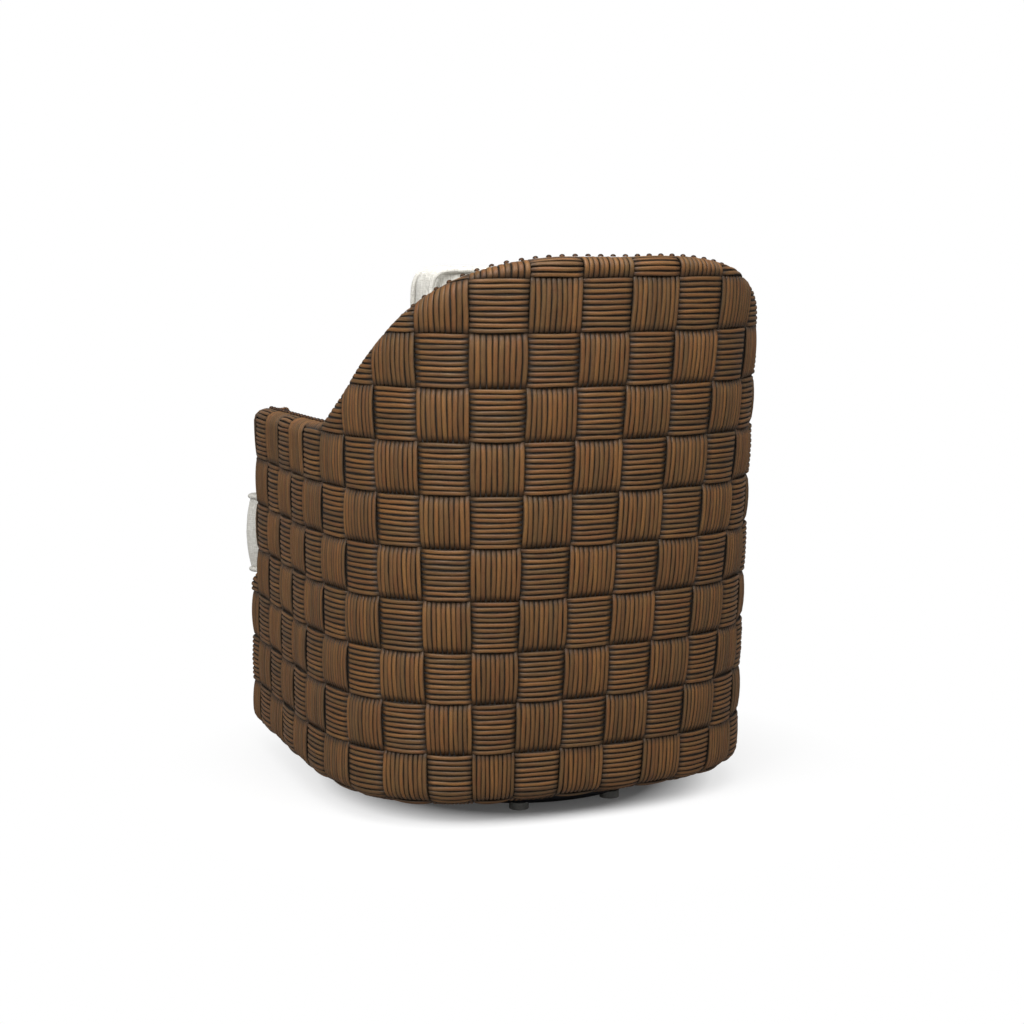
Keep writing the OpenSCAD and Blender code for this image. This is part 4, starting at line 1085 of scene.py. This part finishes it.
def welt(name, path, radius, facing):
    """A piped cord along a closed line: a tube of ten sides, with facing as its second direction."""
    line = even_path(path, 0.006)
    ahead = unit(np.roll(line, -1, 0) - np.roll(line, 1, 0))
    side = unit(np.cross(ahead, facing))
    ripple = 1 + 0.025 * np.sin(np.arange(len(line)) * 2.1)
    points = tube(line, side, np.cross(side, ahead), radius * ripple[:, None, None], 10)
    closed = np.concatenate([points, points[:1]])
    faces = grid_faces(len(closed), 10, wrap=True) % (len(points) * 10)
    made = piece(name, points, faces, linen_finish)
    outward(made)
    lay_cloth(made)
    return made


def piped(label, replaced, radius, facing, paths):
    """Two welts round a cushion, each along its own closed line."""
    for end, path in paths.items():
        dressed(welt(f"{label}_{end}", path, radius, facing), "linen", replaced)


def pushed(points, across, along, move):
    """Moves points by move (aside, along Y and up), times two shares that rise smoothly from 0 to 1
    between the two places given in across, for |x|, and in along, for the axis named there."""
    axis, low, high = along
    share = [rising(np.abs(points[:, 0]), *across), rising(points[:, axis], low, high)]
    k = math.prod(v * v * (3 - 2 * v) for v in share)
    return points + np.stack([move[0] * k * np.sign(points[:, 0]), move[1] * k, move[2] * k], -1)


def soft(made, replaced):
    """Dresses a stuffed piece and prints how many faces it has."""
    dressed(made, "linen", replaced)
    print(made.name, len(made.data.polygons), "faces")


# %% [markdown]
# The seat cushion's outline runs straight across the front with a slight bow, round the ears in
# front of the arms, into the notch behind each ear and back along the wall. Its boxing stands
# between two welts. The crown may rise freely, while the sides and the underside have pads and
# the deck against them and keep to their space. Last, the boxing in front gets a belly, and the
# ears are pulled out past the solid, to where the photograph shows them beside the arm.

# %% Seat cushion
SEAT_Z, SEAT_TOP, EDGE = 0.318, 0.460, 0.008
SEAT_FRONT, BOW, EAR_BACK, SEAT_DEPTH = 0.399, 0.006, 0.351, 0.0674
EAR_X, EAR_Y, EAR_R = 0.311, 0.367, 0.032
DRAWN, ON_SEAM, BELLY = 0.006, 0.0055, 0.006


def seat_outline(e, z):
    """The seat cushion's outline drawn in by e, at the height z, as a closed line."""
    i = np.linspace(0, 1, 16)
    bow = np.stack([EAR_X * i, e - SEAT_FRONT - BOW * np.cos(math.pi / 2 * i)], -1)
    ear = around(np.radians(np.linspace(-90, 0, 9))[1:], EAR_R - e) + [EAR_X, -EAR_Y]
    back, deep, out = -EAR_BACK - e, -SEAT_DEPTH - e, EAR_X + EAR_R - e
    notch = np.array([[out, back - 0.004], [out - 0.004, back - 0.001]])
    side = SIDE_S + (SIDE_AT[1] + deep * math.cos(SIDE_TURN) - back) / math.sin(SIDE_TURN)
    s = np.linspace(side, 0, 120)
    rest = wall(s, np.full(s.shape, deep), np.full(s.shape, SEAT_Z), ARM)[:, :2]
    half = np.concatenate([bow, ear, notch, rest])
    whole = np.concatenate([half, (half * [-1, 1])[1:-1][::-1]])
    return np.column_stack([whole, np.full(len(whole), z)])


def eared(points):
    """The ears in front of the arms, filled out: 16 mm aside and 10 mm forward, where nothing is near."""
    return pushed(points, (0.25, 0.31), (1, -0.352, -0.378), (0.016, -0.010, 0))


seat = even_skin("seat_cushion_cover", "seat_cushion", 0.0065, DRAWN)
seams = np.concatenate([even_path(seat_outline(EDGE + DRAWN - 0.002, z), 0.003)
                        for z in (SEAT_Z + DRAWN, SEAT_TOP - DRAWN + 0.002)])
p, n = points_of(seat), normals_of(seat)
rise = 0.018 * rising(p[:, 2], SEAT_TOP - 0.012, SEAT_TOP)
free = BELLY * rising(-p[:, 1], 0.352, 0.362)
swell(seat, nearest(p, seams) < ON_SEAM, np.where(n[:, 2] > 0.5, 0.006 + rise, DRAWN - 0.0005 + free))
smoothed(seat)
p, n = points_of(seat), normals_of(seat)
belly = np.sin(math.pi * rising(p[:, 2], SEAT_Z, SEAT_TOP)) * (1 - np.abs(n[:, 2]))
belly *= BELLY * rising(-p[:, 1], 0.345, 0.355)
put_points(seat, eared(p + n * belly[:, None]))
lay_cloth(seat)
soft(seat, "seat_cushion")
piped("seat_welt", "seat_cushion", 0.0044, np.array([0, 0, 1.0]),
      {"top": eared(seat_outline(EDGE, SEAT_TOP - 0.0045)),
       "bottom": eared(seat_outline(EDGE, SEAT_Z + 0.0048))})

# %% [markdown]
# The back cushion leans on the back and bends with it. Its front and back panels are crowned and
# its boxing stands between two welts. Its top corners are pushed out to the tight, rounded
# corner of the photograph, past the solid.

# %% Back cushion
BACK_HALF_W, BACK_H, BACK_CORNER, BACK_LOW, BACK_HALF_D = 0.252, 0.406, 0.046, 0.4693, 0.034


def back_middle(x, z):
    """How far back the cushion's middle layer lies: bent to the back's curve and leaning with it."""
    return 0.158 + 0.058 * (1 - (x / BACK_HALF_W) ** 2) + LEAN * (z - LEAN_Z)


def back_ring(share, y):
    """The back cushion's outline at a share of its size, at the depth y behind its middle."""
    w, h = BACK_HALF_W - BACK_CORNER, BACK_H / 2 - BACK_CORNER
    a = np.linspace(0, math.pi / 2, 8)
    rim = [around(a + quarter * math.pi / 2, BACK_CORNER) + corner
           for quarter, corner in enumerate(((w, h), (-w, h), (-w, -h), (w, -h)))]
    rim = even_path(np.column_stack([np.concatenate(rim), np.zeros(32)]), 0.008)[:, :2] * share
    x, z = rim[:, 0], BACK_LOW + BACK_H / 2 + rim[:, 1]
    return np.stack([x, back_middle(x, z) + y, z], -1)


def squared(points):
    """The back cushion's top corners, pushed out to the tight radius of the photograph."""
    wider = pushed(points, (0.15, 0.23), (2, 0.74, 0.82), (0.005, 0, 0))
    return pushed(wider, (0.203, 0.241), (2, 0.822, 0.860), (0.007, 0, 0.007))


pillow = even_skin("back_cushion_cover", "back_cushion", 0.006, DRAWN)
edges = np.concatenate([even_path(back_ring(0.955, y), 0.003) for y in (-BACK_HALF_D, BACK_HALF_D)])
p, n = points_of(pillow), normals_of(pillow)
swell(pillow, nearest(p, edges) < ON_SEAM, np.where(n[:, 1] < -0.5, 0.014, DRAWN - 0.0005))
smoothed(pillow)
p, n = points_of(pillow), normals_of(pillow)
deep = p[:, 1] - back_middle(p[:, 0], p[:, 2])
belly = np.clip(1 - (deep / BACK_HALF_D) ** 2, 0, 1) * (1 - np.abs(n[:, 1]))
belly *= BELLY * rising(p[:, 2], 0.70, 0.80)
put_points(pillow, squared(p + n * belly[:, None]))
lay_cloth(pillow)
soft(pillow, "back_cushion")
piped("back_welt", "back_cushion", 0.0042, np.array([0, 1.0, 0.1]),
      {"front": squared(back_ring(0.972, -0.0365)), "back": squared(back_ring(0.972, 0.0365))})

# %% [markdown]
# The linings are thin pads over the frame. They are held along the nail line and swell only a
# little. The pad on the deck lies flat under the seat cushion.

# %% Linings
def lining(name, node, voxel, cap):
    """A pad made from its CAD solid, held where its top edge meets the nail line."""
    made = even_skin(name, node, voxel, cap * 0.8)
    p = points_of(made)
    swell(made, p[:, 2] > max(0.60, p[:, 2].max() - 0.006), np.full(len(p), cap), pressure=2.0)
    smoothed(made)
    lay_cloth(made)
    soft(made, node)


lining("back_lining", "inner_back_pad", 0.007, 0.0015)
for hand in ("left", "right"):
    lining(f"arm_lining_{hand}", f"inner_arm_pad_{hand}", 0.006, 0.0015)
lining("deck_lining", "deck_pad", 0.008, 0.001)

# %% [markdown]
# Two thin cloths are stretched across the seat frame: the deck over the springs, and the dust
# cover below. Each is cut to the frame's outline and stapled round its edge.

# %% Stretched cloths
CLOTH_ROWS, CLOTH_ACROSS, CLOTH_HALF_T = 60, 61, 0.0004


def stretched(name, node):
    """A cloth on the CAD node's outline: rows across the seat from the front to the back, with two
    faces a little under a millimetre apart, and a faint pull between the staples."""
    source = nodes[node]
    low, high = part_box(node)
    p = np.array([source.matrix_world @ v.co for v in source.data.vertices])
    right = p[p[:, 0] >= -1e-6]
    ys = np.unique(right[:, 1].round(5))
    widest = np.array([right[np.abs(right[:, 1] - y) < 2e-5][:, 0].max() for y in ys])
    rows, wide = CLOTH_ROWS, CLOTH_ACROSS
    y = np.interp(np.linspace(0, 1, rows) ** 0.8, np.linspace(0, 1, len(ys)), ys)
    half = np.maximum(np.interp(y, ys, widest), 0.0005)
    x = np.linspace(-1, 1, wide) * half[:, None]
    pull = 0.0002 * np.sin(x * 180) * np.sin(y[:, None] * 150)
    middle = (low[2] + high[2]) / 2
    layers = [np.stack([x, y[:, None] + 0 * x, middle + side * CLOTH_HALF_T + pull], -1).reshape(-1, 3)
              for side in (1, -1)]
    sheet, under = grid_faces(rows, wide), rows * wide
    edge = np.concatenate([np.arange(wide), wide - 1 + wide * np.arange(1, rows),
                           (rows - 1) * wide + np.arange(wide - 2, -1, -1),
                           wide * np.arange(rows - 2, 0, -1)])
    joined = np.stack([edge, np.roll(edge, -1), np.roll(edge, -1) + under, edge + under], -1)
    faces = np.concatenate([sheet, sheet[:, ::-1] + under, joined])
    made = piece(name, np.concatenate(layers), faces, black_finish)
    outward(made)
    dressed(made, "black_cloth", node)


stretched("deck_cloth", "seat_deck")
stretched("dust_cloth", "dust_cover")

# %% [markdown]
# ## Studio
# The floor is a pale sheet, lit from above and from the camera's side by soft lamps, so that the
# shadow stays close to the chair as in the photograph. It is pale to the camera and darker to the
# light that bounces off it, so that little light comes up from below. Away from the chair it glows
# for the camera alone, up to the white of the backdrop, and adds no light to the chair.

# %% Floor, backdrop and lamps
FLOOR_SIDES, FLOOR_RINGS = 96, (0.4, 1.0, 3.0, 12.0, 40.0)
LOOK_AT = Vector((0, 0, 0.45))


def studio_floor():
    """A wide disc with a white finish that fades into the backdrop away from the chair."""
    material, tree, shader = finish("studio_floor", roughness=0.9)
    place = own_place(tree)
    seen = add(tree, "ShaderNodeLightPath").outputs["Is Camera Ray"]
    pale = blended(tree, noise(tree, place, 3.0), (0.93, 0.93, 0.93), (0.95, 0.95, 0.95))
    coloured(tree, shader, blended(tree, seen, (0.3, 0.3, 0.3), pale))
    away = add(tree, "ShaderNodeVectorMath", {0: place}, operation="LENGTH").outputs["Value"]
    shares = ((0.24, 0.05), (0.30, 0.4), (0.34, 0.7), (0.48, 0.84), (0.64, 1.0))
    fade = ramp(tree, away, [(distance, (share, share, share)) for distance, share in shares])
    glow = add(tree, "ShaderNodeEmission", {"Color": (1, 1, 1, 1), "Strength": 1.0})
    both = {0: maths(tree, "MULTIPLY", fade, seen), 1: shader.outputs[0], 2: glow.outputs[0]}
    mixed = add(tree, "ShaderNodeMixShader", both)
    tree.links.new(mixed.outputs[0], tree.nodes["Material Output"].inputs["Surface"])
    a = full_turn(FLOOR_SIDES)
    rings = [np.column_stack([around(a, r), 0 * a]) for r in FLOOR_RINGS]
    points = np.concatenate(rings + [[[0, 0, 0]]])
    faces = grid_faces(len(rings), FLOOR_SIDES, wrap=True)[:, ::-1].tolist()
    faces += [[len(points) - 1, i, (i + 1) % FLOOR_SIDES] for i in range(FLOOR_SIDES)]
    piece("studio_floor", points, faces, material)


def backdrop(strength):
    """White to the camera, also through glass, and a soft even light of the given strength elsewhere."""
    world = bpy.data.worlds.new("studio")
    bpy.context.scene.world = world
    world.use_nodes = True
    tree = world.node_tree
    path = add(tree, "ShaderNodeLightPath").outputs
    direct = maths(tree, "MAXIMUM", path["Is Camera Ray"], path["Is Transmission Ray"])
    sky = tree.nodes["Background"].inputs
    tree.links.new(mapped(tree, direct, 0.0, 1.0, strength, 1.0), sky["Strength"])
    sky["Color"].default_value = (1, 1, 1, 1)


def lamp(name, at, size, power):
    """A square area lamp that faces the chair's middle."""
    data = bpy.data.lights.new(name, "AREA")
    data.shape, data.size, data.energy = "SQUARE", size, power
    at = Vector(at)
    turned = (at - LOOK_AT).to_track_quat("Z", "Y").to_matrix().to_4x4()
    placed(name, data).matrix_world = Matrix.Translation(at) @ turned


studio_floor()
backdrop(0.40)
lamp("overhead", (0.5, 1.4, 2.5), 2.4, 80)
lamp("key", (3.5, 2.2, 2.8), 2.2, 80)
lamp("fill", (-2.2, 3.4, 2.4), 2.2, 12)
